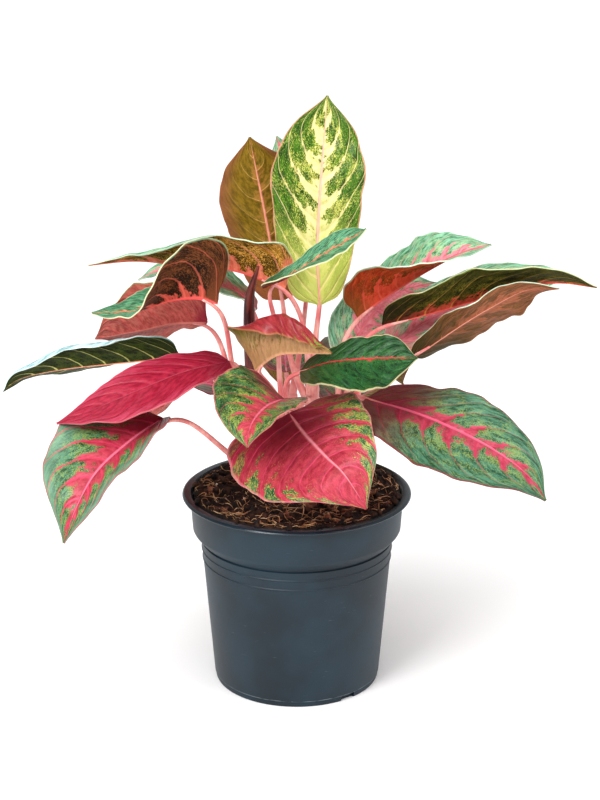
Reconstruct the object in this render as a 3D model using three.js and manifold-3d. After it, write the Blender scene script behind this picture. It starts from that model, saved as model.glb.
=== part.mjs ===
// A potted chinese evergreen: a nursery pot filled with soil, five canes with their petioles,
// and broad variegated leaf blades. Millimetres, +Z up, the pot's base centred on the origin.
import * as THREE from 'three';
import { mergeVertices } from 'three/addons/utils/BufferGeometryUtils.js';
import Module from 'manifold-3d';

// Driving dimensions
const clearGap = 0.35; // free space between pieces that touch in the real plant
const potHeight = 148;
const rimRadius = 85;
const collarTopRadius = 79.3;
const collarFootRadius = 77.6;
const collarFootHeight = 120;
const bodyTopRadius = 71.3;
const bodyTopHeight = 112.5;
const baseRadius = 61.5;
const potWall = 2;
const potFloor = 2.4;
const soilLevel = 144.5;
const soilGap = 0.5;
const soilEdgeStart = 60; // from here outward the soil rises to the rim
const soilEdgeEnd = 76;
const holeDepth = 40;
const caneRadius = 5;
const sheathRadius = 2.7;
const petioleRadius = 1.9;
const bladeThickness = 0.9;
const turnSides = 34;
const drainCount = 6;
const drainRadius = 4;
const drainCircle = 40; // distance of the drain holes from the axis of the pot
const notchDepth = 6;
const notchWidth = 12;
const notchHeight = 8;
const notchBearings = [-52, 128];

const wasm = await Module();
wasm.setup();

const plastic = new THREE.MeshStandardMaterial({ color: '#3a4b58', roughness: 0.5 });
const compost = new THREE.MeshStandardMaterial({ color: '#3a251a', roughness: 0.95 });
const pinkStem = new THREE.MeshStandardMaterial({ color: '#e58a86', roughness: 0.45 });
const youngLeaf = new THREE.MeshStandardMaterial({ color: '#4a2020', roughness: 0.4 });
const bladeColours = {
  green: '#4c8a4a',
  yellow: '#b9c65f',
  olive: '#9a7a34',
  orange: '#c06a44',
  brown: '#6e4433',
  salmon: '#cf7365',
  crimson: '#b8344a',
  darkGreen: '#2f5a33',
};
const bladeMaterials = Object.fromEntries(
  Object.entries(bladeColours).map(([name, color]) => [
    name,
    new THREE.MeshStandardMaterial({ color, roughness: 0.35, side: THREE.DoubleSide }),
  ]),
);

const group = new THREE.Group();
group.name = 'potted_chinese_evergreen';

function addPiece(name, geometry, material) {
  const mesh = new THREE.Mesh(geometry, material);
  mesh.name = name;
  group.add(mesh);
}

function toSolid(geometry) {
  const bare = geometry.clone();
  bare.deleteAttribute('normal');
  bare.deleteAttribute('uv');
  const merged = mergeVertices(bare, 1e-4);
  return new wasm.Manifold(new wasm.Mesh({
    numProp: 3,
    vertProperties: new Float32Array(merged.attributes.position.array),
    triVerts: new Uint32Array(merged.index.array),
  }));
}

function toGeometry(solid) {
  const mesh = solid.getMesh();
  const geometry = new THREE.BufferGeometry();
  geometry.setAttribute('position', new THREE.BufferAttribute(new Float32Array(mesh.vertProperties), 3));
  geometry.setIndex(new THREE.BufferAttribute(new Uint32Array(mesh.triVerts), 1));
  geometry.computeVertexNormals();
  return geometry;
}

const vector = ([x, y, z]) => new THREE.Vector3(x, y, z);
const upright = (geometry) => geometry.rotateX(Math.PI / 2);

// Nursery pot: a tapered body, a collar above a chamfered step, and a rolled lip
function makePot() {
  const profile = [
    [0, 0],
    [baseRadius, 0],
    [baseRadius + 0.2, 4],
    [baseRadius + 0.9, 4.6],
    [baseRadius + 8.6, 96.5],
    [baseRadius + 9.3, 97.2],
    [baseRadius + 8.8, 98],
    [baseRadius + 9.2, 104],
    [baseRadius + 9.9, 104.7],
    [baseRadius + 9.4, 105.5],
    [bodyTopRadius, bodyTopHeight],
    [collarFootRadius, collarFootHeight],
    [collarTopRadius, potHeight - 4],
    [rimRadius - 1, potHeight - 3.6],
    [rimRadius, potHeight - 2],
    [rimRadius - 0.8, potHeight - 0.4],
    [rimRadius - 2.4, potHeight],
    [collarTopRadius - 0.6, potHeight - 0.2],
    [collarTopRadius - potWall, potHeight - 1.2],
    [collarFootRadius - potWall, collarFootHeight + 1],
    [bodyTopRadius - potWall, bodyTopHeight + 1],
    [baseRadius + 0.9 - potWall, potFloor],
    [0, potFloor],
  ];
  const turned = new THREE.LatheGeometry(profile.map(([r, z]) => new THREE.Vector2(r, z)), turnSides);
  let pot = toSolid(upright(turned));
  for (const bearing of notchBearings) {
    const notch = new THREE.BoxGeometry(notchDepth, notchWidth, notchHeight);
    notch.translate(baseRadius + 0.4, 0, 0);
    notch.rotateZ(THREE.MathUtils.degToRad(bearing));
    pot = pot.subtract(toSolid(notch));
  }
  for (let index = 0; index < drainCount; index += 1) {
    const drain = upright(new THREE.CylinderGeometry(drainRadius, drainRadius, 12, 16));
    drain.translate(drainCircle, 0, 0);
    drain.rotateZ((index + 0.5) * 2 * Math.PI / drainCount);
    pot = pot.subtract(toSolid(drain));
  }
  return toGeometry(pot);
}

// Canes: where each one stands in the soil and where it ends among the petioles
const canes = {
  cane_middle: { foot: [12, 34], top: [12, 16, 246] },
  cane_left: { foot: [-29, 22], top: [-36, -5, 200] },
  cane_right: { foot: [34, 20], top: [33, 2, 198] },
  cane_front: { foot: [-3, 12], top: [-5, -24, 190] },
  cane_rear: { foot: [-6, 54], top: [-4, 54, 205] },
};

// Soil: a mound that fills the pot up to the rim, heaped at the sides, with a plain hole for each cane
function soilHeight(x, y) {
  const edge = THREE.MathUtils.smoothstep(Math.hypot(x, y), soilEdgeStart, soilEdgeEnd);
  const heaped = 4.5 * Math.exp(-(((x + 60) / 22) ** 2) - ((y - 26) / 26) ** 2)
    + 4.5 * Math.exp(-(((x - 60) / 22) ** 2) - ((y - 26) / 26) ** 2);
  const lumps = 1.1 * Math.sin(x * 0.21 + 1.3) * Math.cos(y * 0.17 - 0.6)
    + 0.7 * Math.sin(x * 0.43 - y * 0.37);
  return THREE.MathUtils.lerp(soilLevel + heaped + lumps, potHeight - 0.4, edge);
}

function makeSoil() {
  const shrink = potWall + soilGap;
  const floor = potFloor + clearGap;
  const profile = [
    [0, floor],
    [baseRadius + 0.6 - shrink, floor],
    [bodyTopRadius - shrink, bodyTopHeight + 1],
    [collarFootRadius - shrink, collarFootHeight + 1],
    [collarTopRadius - shrink - 0.2, soilLevel],
    [68, soilLevel],
    [54, soilLevel],
    [38, soilLevel],
    [20, soilLevel],
    [0, soilLevel],
  ];
  const turned = new THREE.LatheGeometry(profile.map(([r, z]) => new THREE.Vector2(r, z)), turnSides);
  upright(turned);
  const places = turned.attributes.position;
  for (let index = 0; index < places.count; index += 1) {
    if (places.getZ(index) > soilLevel - 1) {
      places.setZ(index, soilHeight(places.getX(index), places.getY(index)));
    }
  }
  let soil = toSolid(turned);
  for (const { foot: [x, y] } of Object.values(canes)) {
    const holeRadius = caneRadius + clearGap;
    const hole = upright(new THREE.CylinderGeometry(holeRadius, holeRadius, 2 * holeDepth, 20));
    hole.translate(x, y, soilLevel);
    soil = soil.subtract(toSolid(hole));
  }
  return toGeometry(soil);
}

// Leaf blades and their petioles. petiole: points from inside the cane to the blade. rib: midrib points
// from the base of the blade to its tip. looks: bearing and tilt, in degrees, of the way the upper side
// faces, at the base and at the tip; bearing 0 is the right of the plant and -90 its front. left and
// right, as seen from above with the tip pointing away: half width, and how far that half is folded up
// at the base and at the tip. widest: where along the blade it is broadest. wave: height, number and
// phase of the ripples along the margins. lobe: how far the base runs back beside the petiole. roll: how
// far each half rolls over towards its underside, in degrees, where it does.
const leaves = {
  leaf_tall: {
    cane: 'cane_middle', colour: 'yellow', petiole: [[12, 16, 236], [14, 18, 262]],
    rib: [[17, 20, 285], [15, 20, 328], [18, 25, 383], [22, 35, 436]],
    looks: [[-90, 10], [-90, 15]], left: [36, 10, 5], right: [32, 10, 5],
    widest: 0.62, wave: [1, 2, 0], lobe: 10,
  },
  leaf_tall_back: {
    cane: 'cane_middle', colour: 'olive', petiole: [[10, 24, 205], [-4, 22, 240]],
    rib: [[-10, 29, 286], [-17, 40, 316], [-25, 45, 358], [-34, 45, 404]],
    looks: [[80, 10], [80, 10]], left: [32, 10, 5], right: [34, 10, 5],
    widest: 0.6, wave: [1, 2, 0.3], lobe: 10,
  },
  leaf_left_high: {
    cane: 'cane_middle', colour: 'olive', petiole: [[10, 21, 215], [7, 9, 262], [0, 1, 290]],
    rib: [[-8, 0, 304], [-26, -5, 312], [-48, -10, 320], [-82, -20, 326], [-114, -25, 330], [-146, -30, 328]],
    looks: [[90, 60], [90, 60]], left: [34, 45, 10], right: [30, 20, 25],
    widest: 0.3, wave: [1, 2, 0.6], lobe: 12,
  },
  leaf_left_fold: {
    cane: 'cane_left', colour: 'brown', petiole: [[-38, 2, 186], [-46, -16, 245], [-50, -36, 288]],
    rib: [[-55, -45, 305], [-70, -50, 310], [-90, -55, 309], [-112, -60, 303], [-141, -65, 303]],
    looks: [[90, 60], [-90, 75]], left: [44, 80, -20], right: [30, 25, 10],
    widest: 0.25, wave: [1, 2, 0.1], lobe: 15,
  },
  leaf_left_salmon: {
    cane: 'cane_left', colour: 'salmon', petiole: [[-38, 4, 180], [-47, -4, 230], [-56, -8, 268]],
    rib: [[-64, -10, 281], [-87, -10, 280], [-109, -10, 275], [-131, -10, 271], [-145, -10, 268]],
    looks: [[90, 35], [90, 35]], left: [40, 15, 10], right: [32, 25, 20],
    widest: 0.5, wave: [1, 2, 0.4], lobe: 10,
  },
  leaf_left_long: {
    cane: 'cane_left', colour: 'darkGreen', petiole: [[-37, 8, 174], [-52, -12, 225], [-68, -27, 256]],
    rib: [[-83, -30, 261], [-122, -30, 257], [-166, -30, 252], [-197, -30, 245], [-210, -30, 235]],
    looks: [[90, 45], [90, 45]], left: [26, 25, 0], right: [28, 30, 10],
    widest: 0.5, wave: [1.5, 2, 0.7], lobe: 12,
  },
  leaf_left_crimson: {
    cane: 'cane_left', colour: 'crimson', petiole: [[-36, 0, 185], [-38, -16, 228], [-42, -30, 255]],
    rib: [[-48, -42, 261], [-78, -60, 259], [-110, -75, 250], [-141, -85, 239], [-165, -90, 231]],
    looks: [[-90, 70], [-90, 70]], left: [30, 10, 5], right: [21, 10, 5],
    widest: 0.5, wave: [1.5, 2, 0.2], lobe: 10,
  },
  leaf_left_low: {
    cane: 'cane_left', colour: 'green', petiole: [[-30, 18, 160], [-46, -28, 184], [-60, -46, 204], [-80, -64, 227]],
    rib: [[-93, -70, 228], [-114, -95, 220], [-135, -120, 207], [-148, -135, 187], [-157, -140, 163]],
    looks: [[-110, 60], [-110, 35]], left: [27, 35, 10], right: [44, 5, 5],
    widest: 0.4, wave: [1.5, 3, 0], lobe: 15,
  },
  leaf_middle_arched: {
    cane: 'cane_front', colour: 'crimson', petiole: [[-5, -17, 182], [-8, -34, 218], [-17, -43, 241]],
    rib: [[-29, -54, 258], [-14, -64, 272], [2, -74, 277], [24, -88, 281]],
    looks: [[90, 0], [90, 20]], left: [14, 65, 65], right: [46, 30, 5], roll: [0, -175],
    widest: 0.5, wave: [0.8, 2, 0.5], lobe: 20,
  },
  leaf_middle_red_rib: {
    cane: 'cane_front', colour: 'darkGreen', petiole: [[-4, -16, 180], [-6, -31, 222], [-8, -42, 248]],
    rib: [[3, -50, 256], [23, -60, 266], [54, -70, 272], [83, -80, 275]],
    looks: [[-90, 60], [-90, 40]], left: [18, 0, 10], right: [32, 10, 10],
    widest: 0.65, wave: [1, 2, 0.8], lobe: 2,
  },
  leaf_right_low: {
    cane: 'cane_right', colour: 'green', petiole: [[34, 8, 176], [36, -8, 212], [38, -20, 229]],
    rib: [[50, -32, 230], [80, -60, 230], [106, -85, 227], [132, -105, 219], [155, -120, 206], [169, -125, 188]],
    looks: [[-80, 60], [-70, 40]], left: [31, 5, 5], right: [46, 5, 5],
    widest: 0.5, wave: [1.5, 3, 0.5], lobe: 6,
  },
  leaf_front: {
    cane: 'cane_front', colour: 'crimson', petiole: [[-4, -11, 174], [-7, -34, 206], [-7, -43, 220]],
    rib: [[-5, -50, 225], [6, -72, 217], [20, -92, 208], [33, -108, 200], [48, -115, 178]],
    looks: [[-95, 40], [-85, 30]], left: [45, 0, 5], right: [58, 0, 5],
    widest: 0.35, wave: [1.5, 2, 0.1], lobe: 20,
  },
  leaf_front_small: {
    cane: 'cane_front', colour: 'green', petiole: [[-5, -18, 182], [-6, -37, 214], [-7, -53, 234]],
    rib: [[-9, -66, 241], [-20, -88, 243], [-28, -108, 241], [-32, -122, 236], [-33, -130, 228]],
    looks: [[-90, 45], [-90, 45]], left: [30, 40, 20], right: [40, 5, 5],
    widest: 0.4, wave: [1, 2, 0.6], lobe: 5,
  },
  leaf_right_orange: {
    cane: 'cane_right', colour: 'orange', petiole: [[33, 5, 188], [30, 4, 240], [36, 6, 266]],
    rib: [[44, 5, 280], [60, 0, 294], [78, -5, 308], [95, -10, 320], [117, -15, 333], [137, -20, 340]],
    looks: [[90, 60], [-90, 50]], left: [31, 55, 20], right: [31, 55, 20],
    widest: 0.4, wave: [1, 2, 0.9], lobe: 18,
  },
  leaf_right_long: {
    cane: 'cane_right', colour: 'olive', petiole: [[34, 5, 188], [39, 0, 240], [50, -2, 267]],
    rib: [[62, -5, 277], [88, -15, 287], [116, -25, 298], [146, -35, 310], [180, -40, 318], [209, -45, 316]],
    looks: [[90, 60], [90, 60]], left: [28, 25, 15], right: [27, 30, 15],
    widest: 0.52, wave: [1.5, 2, 0.3], lobe: 2,
  },
  leaf_right_salmon: {
    cane: 'cane_right', colour: 'salmon', petiole: [[36, 7, 182], [50, 2, 240], [66, -13, 256]],
    rib: [[83, -22, 258], [102, -28, 274], [119, -34, 288], [135, -40, 300], [159, -48, 315], [182, -52, 317]],
    looks: [[90, 45], [90, 45]], left: [25, 0, 0], right: [15, 0, 0],
    widest: 0.5, wave: [1.5, 3, 0.2], lobe: 8,
  },
  leaf_right_behind: {
    cane: 'cane_right', colour: 'green', petiole: [[35, 7, 186], [46, 7, 228], [58, 5, 248]],
    rib: [[67, 8, 255], [94, 15, 273], [127, 20, 290], [163, 20, 303], [200, 15, 309]],
    looks: [[-90, 60], [-90, 60]], left: [24, 5, 5], right: [32, 5, 5],
    widest: 0.45, wave: [1, 2, 0.7], lobe: 12,
  },
  leaf_right_upright: {
    cane: 'cane_right', colour: 'green', petiole: [[33, 7, 188], [37, 16, 222]],
    rib: [[41, 20, 241], [45, 32, 256], [58, 44, 273], [78, 50, 287], [104, 52, 293]],
    looks: [[-90, 30], [-90, 30]], left: [25, 5, 5], right: [28, 5, 5],
    widest: 0.4, wave: [1, 2, 0.4], lobe: 10,
  },
  leaf_middle_edge: {
    cane: 'cane_front', colour: 'darkGreen', petiole: [[-5, -18, 182], [-12, -22, 236], [-14, -32, 285]],
    rib: [[-24, -38, 314], [-5, -40, 323], [20, -44, 340], [48, -48, 358]],
    looks: [[-90, 75], [-90, 50]], left: [11, 10, 5], right: [24, 30, 30],
    widest: 0.7, wave: [0.8, 2, 0.1], lobe: 16,
  },
  leaf_left_behind: {
    cane: 'cane_left', colour: 'green', petiole: [[-33, 6, 180], [-31, 14, 220], [-27, 17, 258]],
    rib: [[-29, 15, 283], [-44, 15, 296], [-70, 15, 308], [-95, 15, 313], [-115, 15, 305]],
    looks: [[-90, 85], [-90, 85]], left: [24, 5, 5], right: [24, 5, 5],
    widest: 0.45, wave: [1, 2, 0.5], lobe: 8,
  },
  leaf_rear_upright: {
    cane: 'cane_rear', colour: 'green', petiole: [[-4, 55, 200], [4, 60, 250]],
    rib: [[8, 66, 285], [4, 74, 340], [-15, 90, 396]],
    looks: [[-90, 0], [-90, 20]], left: [30, 15, 10], right: [36, 15, 10],
    widest: 0.5, wave: [1.2, 2, 0], lobe: 14,
  },
  leaf_rear_right: {
    cane: 'cane_rear', colour: 'green', petiole: [[-3, 54, 184], [10, 62, 206]],
    rib: [[26, 74, 216], [56, 118, 219], [86, 156, 180]],
    looks: [[-125, 70], [60, 55]], left: [30, 15, 5], right: [30, 15, 5],
    widest: 0.42, wave: [1.5, 3, 0], lobe: 14,
  },
  leaf_rear_middle: {
    cane: 'cane_rear', colour: 'green', petiole: [[-5, 55, 192], [-7, 62, 210]],
    rib: [[-8, 74, 216], [-10, 122, 216], [-12, 166, 175]],
    looks: [[-90, 75], [90, 60]], left: [26, 15, 5], right: [24, 15, 5],
    widest: 0.42, wave: [1.5, 3, 0.3], lobe: 14,
  },
  leaf_rear_left: {
    cane: 'cane_rear', colour: 'green', petiole: [[-6, 54, 176], [-22, 58, 194]],
    rib: [[-36, 64, 200], [-82, 100, 198], [-120, 126, 158]],
    looks: [[-55, 70], [130, 50]], left: [32, 15, 5], right: [32, 15, 5],
    widest: 0.42, wave: [1.5, 3, 0.6], lobe: 14,
  },
  leaf_rear_low: {
    cane: 'cane_rear', colour: 'green', petiole: [[-3, 50, 172], [8, 66, 186]],
    rib: [[20, 80, 192], [52, 122, 182], [76, 146, 142]],
    looks: [[90, 85], [50, 45]], left: [34, 15, 5], right: [34, 15, 5],
    widest: 0.42, wave: [1.5, 2, 0.4], lobe: 14,
  },
};

// Half width of a blade along its length as a share of the widest, for a blade that is broadest at 0.4
const bladeOutline = [
  [0, 0.05], [0.04, 0.45], [0.1, 0.68], [0.2, 0.88], [0.32, 0.98], [0.45, 1],
  [0.6, 0.88], [0.74, 0.64], [0.86, 0.34], [0.95, 0.11], [1, 0.02],
];
const outlinePeak = 0.4;
const bladeColumns = [-1, -0.68, -0.36, -0.08, 0, 0.08, 0.36, 0.68, 1];
const rolledColumns = [-1, -0.8, -0.65, -0.5, -0.25, -0.08, 0, 0.08, 0.25, 0.5, 0.65, 0.8, 1];
const rollStart = 0.5; // where a half that rolls over starts to, as a share of its width
const rollEnd = 0.8;
const fullRollWidth = 20; // narrower than this, a half rolls over less
const rollFrom = 0.1; // where along the blade a half starts to roll over
const fullRollLength = 0.35; // the share of the blade over which the roll grows
const keelDepth = 1.3;
const marginCurl = 8; // degrees by which each half bends up further between midrib and margin
const fullBase = 0.3; // below this station the widest place has less pull on the outline

function facing([bearing, tilt]) {
  const turn = THREE.MathUtils.degToRad(bearing);
  const lift = THREE.MathUtils.degToRad(tilt);
  return new THREE.Vector3(Math.cos(turn) * Math.cos(lift), Math.sin(turn) * Math.cos(lift), Math.sin(lift));
}

function ribCurve(leaf) {
  return new THREE.CatmullRomCurve3(leaf.rib.map(vector), false, 'catmullrom', 0.5);
}

// How far outward and how far up the cross-section of a half has come, as shares of its width
function crossSection(across, fold, roll) {
  const steps = 24;
  const bend = THREE.MathUtils.degToRad(marginCurl);
  let outward = 0;
  let raised = 0;
  for (let step = 0; step < steps; step += 1) {
    const place = across * (step + 0.5) / steps;
    const angle = fold + bend * place + roll * THREE.MathUtils.smoothstep(place, rollStart, rollEnd);
    outward += Math.cos(angle) * across / steps;
    raised += Math.sin(angle) * across / steps;
  }
  return [outward, raised];
}

// Middle surface of a blade: one row of points across it for each station of the outline
function midSurface(leaf) {
  const rib = ribCurve(leaf);
  const start = facing(leaf.looks[0]);
  const end = facing(leaf.looks[1]);
  const broadest = Math.max(leaf.left[0], leaf.right[0]);
  const shift = Math.log(leaf.widest) / Math.log(outlinePeak);
  const columns = leaf.roll ? rolledColumns : bladeColumns;
  const [rollLeft, rollRight] = leaf.roll ?? [0, 0];
  return bladeOutline.map(([station, breadth]) => {
    const share = station + (station ** shift - station) * Math.min(1, station / fullBase);
    const point = rib.getPointAt(share);
    const ahead = rib.getTangentAt(share);
    const side = ahead.clone().cross(start.clone().lerp(end, share)).normalize();
    const normal = side.clone().cross(ahead);
    return columns.map((column) => {
      const [wide, foldBase, foldTip] = column < 0 ? leaf.left : leaf.right;
      const across = Math.abs(column);
      const fold = THREE.MathUtils.degToRad(THREE.MathUtils.lerp(foldBase, foldTip, share));
      const reach = Math.max(wide * breadth, 0.8);
      const grown = Math.max(0, Math.min(1, (share - rollFrom) / fullRollLength, reach / fullRollWidth));
      const roll = (column < 0 ? rollLeft : rollRight) * grown;
      const [outward, raised] = crossSection(across, fold, THREE.MathUtils.degToRad(roll));
      const [height, count, phase] = leaf.wave;
      const turn = 2 * Math.PI * (count * share + phase + (column < 0 ? 0.5 : 0));
      const ripple = height * across ** 2 * Math.sin(turn) * Math.sin(Math.PI * share);
      const back = leaf.lobe * (reach * across / broadest) ** 1.5 * (1 - share) ** 3
        * Math.min(1, 30 * share);
      return point.clone()
        .addScaledVector(side, reach * outward * Math.sign(column))
        .addScaledVector(normal, reach * raised + ripple)
        .addScaledVector(ahead, -back);
    });
  });
}

// A closed plate on both sides of the middle surface, with a keel under the midrib; both faces are
// split along the same diagonals
function makeBlade(leaf) {
  const grid = midSurface(leaf);
  const rows = grid.length;
  const columns = grid[0].length;
  const middle = (columns - 1) / 2;
  const across = (row, column) => {
    const before = grid[row][Math.max(column - 1, 0)];
    return grid[row][Math.min(column + 1, columns - 1)].clone().sub(before);
  };
  const along = (row, column) => {
    const before = grid[Math.max(row - 1, 0)][column];
    return grid[Math.min(row + 1, rows - 1)][column].clone().sub(before);
  };
  const corners = [];
  for (const face of [1, -1]) {
    for (let row = 0; row < rows; row += 1) {
      for (let column = 0; column < columns; column += 1) {
        const normal = across(row, column).cross(along(row, row === 0 ? middle : column)).normalize();
        const keel = face < 0 && column === middle ? keelDepth * (1 - 0.8 * row / (rows - 1)) : 0;
        corners.push(grid[row][column].clone().addScaledVector(normal, face * (bladeThickness / 2 + keel)));
      }
    }
  }
  const faces = [];
  const under = rows * columns;
  const quad = (a, b, c, d) => faces.push(a, b, c, a, c, d);
  for (let row = 0; row < rows - 1; row += 1) {
    for (let column = 0; column < columns - 1; column += 1) {
      const a = row * columns + column;
      const b = a + 1;
      const c = b + columns;
      const d = a + columns;
      quad(a, b, c, d);
      faces.push(under + a, under + c, under + b, under + a, under + d, under + c);
    }
    const left = row * columns;
    const right = left + columns - 1;
    quad(left + columns, under + left + columns, under + left, left);
    quad(right, under + right, under + right + columns, right + columns);
  }
  for (let column = 0; column < columns - 1; column += 1) {
    const tip = (rows - 1) * columns + column;
    quad(column + 1, column, under + column, under + column + 1);
    quad(tip, tip + 1, under + tip + 1, under + tip);
  }
  const geometry = new THREE.BufferGeometry();
  const coordinates = corners.flatMap((corner) => corner.toArray());
  geometry.setAttribute('position', new THREE.Float32BufferAttribute(coordinates, 3));
  geometry.setIndex(faces);
  geometry.computeVertexNormals();
  return geometry;
}

// Round rod swept along a curve
function makeRod(points, radius, steps, sides) {
  const outline = new THREE.Shape();
  for (let index = 0; index < sides; index += 1) {
    const turn = 2 * Math.PI * index / sides;
    const place = [radius * Math.cos(turn), radius * Math.sin(turn)];
    if (index === 0) outline.moveTo(...place);
    else outline.lineTo(...place);
  }
  outline.closePath();
  const path = new THREE.CatmullRomCurve3(points, false, 'catmullrom', 0.5);
  return toSolid(new THREE.ExtrudeGeometry(outline, { steps, extrudePath: path, bevelEnabled: false }));
}

// One cane: the stem in its hole, with the sheath and the petiole of each of its leaves grown onto it
function makeCane(name, { foot: [x, y], top }) {
  const below = new THREE.Vector3(x, y, soilLevel - holeDepth + clearGap);
  const ground = new THREE.Vector3(x, y, soilLevel + 12);
  const start = new THREE.Vector3(x, y, soilLevel + 4);
  let cane = makeRod([below, start, ground, vector(top)], caneRadius, 7, 10);
  for (const leaf of Object.values(leaves)) {
    if (leaf.cane === name) {
      const rib = ribCurve(leaf);
      const base = rib.getPointAt(0);
      const ahead = rib.getTangentAt(0);
      const end = base.clone().addScaledVector(ahead, -clearGap);
      const points = [...leaf.petiole.map(vector), end.clone().addScaledVector(ahead, -5), end];
      cane = cane.add(makeRod(points, petioleRadius, 6, 6));
      const path = new THREE.CatmullRomCurve3(points, false, 'catmullrom', 0.5);
      const sheath = [0, 0.15, 0.3, 0.45].map((share) => path.getPointAt(share));
      cane = cane.add(makeRod(sheath, sheathRadius, 3, 6));
    }
  }
  return toGeometry(cane);
}

// The rolled new leaf: a slim spindle that leans close against a petiole of the left cane
const newLeafPath = [[-32.2, -7.2, 209], [-33, -12, 240], [-34, -17, 280], [-33, -20, 304], [-27, -22, 325]];
const newLeafRadii = [2.2, 3.2, 4.2, 4.4, 4.4, 4.2, 3.8, 2.4, 0.7];

function makeNewLeaf() {
  const sides = 10;
  const path = new THREE.CatmullRomCurve3(newLeafPath.map(vector), false, 'catmullrom', 0.5);
  const outline = new THREE.Shape();
  for (let index = 0; index < sides; index += 1) {
    const turn = 2 * Math.PI * index / sides;
    if (index === 0) outline.moveTo(Math.cos(turn), Math.sin(turn));
    else outline.lineTo(Math.cos(turn), Math.sin(turn));
  }
  outline.closePath();
  const steps = newLeafRadii.length - 1;
  const swept = new THREE.ExtrudeGeometry(outline, { steps, extrudePath: path, bevelEnabled: false });
  const places = swept.attributes.position;
  const corner = new THREE.Vector3();
  for (let index = 0; index < places.count; index += 1) {
    corner.fromBufferAttribute(places, index);
    let nearest = 0;
    for (let step = 1; step <= steps; step += 1) {
      const closer = path.getPointAt(step / steps).distanceTo(corner);
      if (closer < path.getPointAt(nearest / steps).distanceTo(corner)) nearest = step;
    }
    const centre = path.getPointAt(nearest / steps);
    corner.sub(centre).multiplyScalar(newLeafRadii[nearest]).add(centre);
    places.setXYZ(index, corner.x, corner.y, corner.z);
  }
  return toGeometry(toSolid(swept));
}

addPiece('pot', makePot(), plastic);
addPiece('soil', makeSoil(), compost);
for (const [name, cane] of Object.entries(canes)) {
  addPiece(name, makeCane(name, cane), pinkStem);
}
addPiece('new_leaf', makeNewLeaf(), youngLeaf);
for (const [name, leaf] of Object.entries(leaves)) {
  addPiece(name, makeBlade(leaf), bladeMaterials[leaf.colour]);
}

export default group;
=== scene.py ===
import math
import random

import bpy
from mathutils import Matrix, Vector, noise


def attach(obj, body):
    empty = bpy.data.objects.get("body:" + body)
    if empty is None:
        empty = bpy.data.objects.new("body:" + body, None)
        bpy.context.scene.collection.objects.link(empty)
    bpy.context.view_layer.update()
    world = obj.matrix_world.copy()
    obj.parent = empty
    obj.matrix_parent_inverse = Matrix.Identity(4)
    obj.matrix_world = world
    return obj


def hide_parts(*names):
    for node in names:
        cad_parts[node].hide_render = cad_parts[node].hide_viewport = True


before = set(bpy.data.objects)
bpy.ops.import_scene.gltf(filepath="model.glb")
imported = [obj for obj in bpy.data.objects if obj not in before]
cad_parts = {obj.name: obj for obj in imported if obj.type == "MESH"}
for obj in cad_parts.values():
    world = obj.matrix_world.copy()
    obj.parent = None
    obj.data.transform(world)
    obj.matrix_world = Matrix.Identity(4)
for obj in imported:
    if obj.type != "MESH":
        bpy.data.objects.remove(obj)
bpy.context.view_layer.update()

# A chinese evergreen in a nursery pot: pot, soil with coir and bark, pink stems, variegated leaves.
# Lengths are millimetres, turned to metres where they are used, but for the light, the floor and the
# materials, which are in metres.

MM = 0.001

# Sizes of the pot and of what stands in it
POT_HEIGHT = 148
RIM_RADIUS = 85
COLLAR_TOP_RADIUS = 79.3
COLLAR_FOOT_RADIUS = 77.6
COLLAR_FOOT_HEIGHT = 120
BODY_TOP_RADIUS = 71.3
BODY_TOP_HEIGHT = 112.5
BASE_RADIUS = 61.5
POT_WALL = 2
POT_FLOOR = 2.4
DRAIN_COUNT = 6
DRAIN_RADIUS = 4
DRAIN_CIRCLE = 40
NOTCH_BEARINGS = (-52, 128)
NOTCH_SIZE = (6, 12, 8)
RING_FEET = ((8.6, 96.3), (9.2, 103.8))  # two fine rings round the pot: distance past the base, and height
RING_PROFILE = ((0, 0), (0.55, 0.5), (0.65, 1.0), (0.2, 1.6))
SOIL_LEVEL = 144.5
SOIL_GAP = 0.5
SOIL_EDGE = (60, 76)  # between these distances from the axis the soil rises to the rim
SOIL_HEAPS = ((-60, 26), (60, 26))
HEAP_HEIGHT = 4.5
HEAP_SPREAD = (22, 26)
SOIL_CELLS = 110
SOIL_CRUMBS = ((2.0, 0.16, 0), (1.3, 0.42, 7), (0.7, 1.1, 3))  # height, fineness and place of the noise
FIBRE_LENGTH = (6, 24)
FIBRE_BOW = 0.9
FIBRE_HOP = (0.3, 3.0)
CHIP_THICKNESS = 0.16  # half of it, as a share of a chip's half length
CHIP_BEND = 0.16
CHIP_SEED = 4
LITTER_FREE = 3  # bare soil kept round each cane
POT_STEPS = 128
CANE_RADIUS = 5
CANE_DEPTH = 39.6
CANE_RINGS = 7
CANE_STEPS = 60
PETIOLE_STEPS = 48
PETIOLE_ROUNDING = 26
PETIOLE_SINK = 1.1  # how far the petiole's end lies under the blade
PETIOLE_RADII = (3.3, 3.1, 2.8, 2.4, 2.1, 1.95, 1.85, 1.8, 1.7, 1.4, 0.9)

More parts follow.
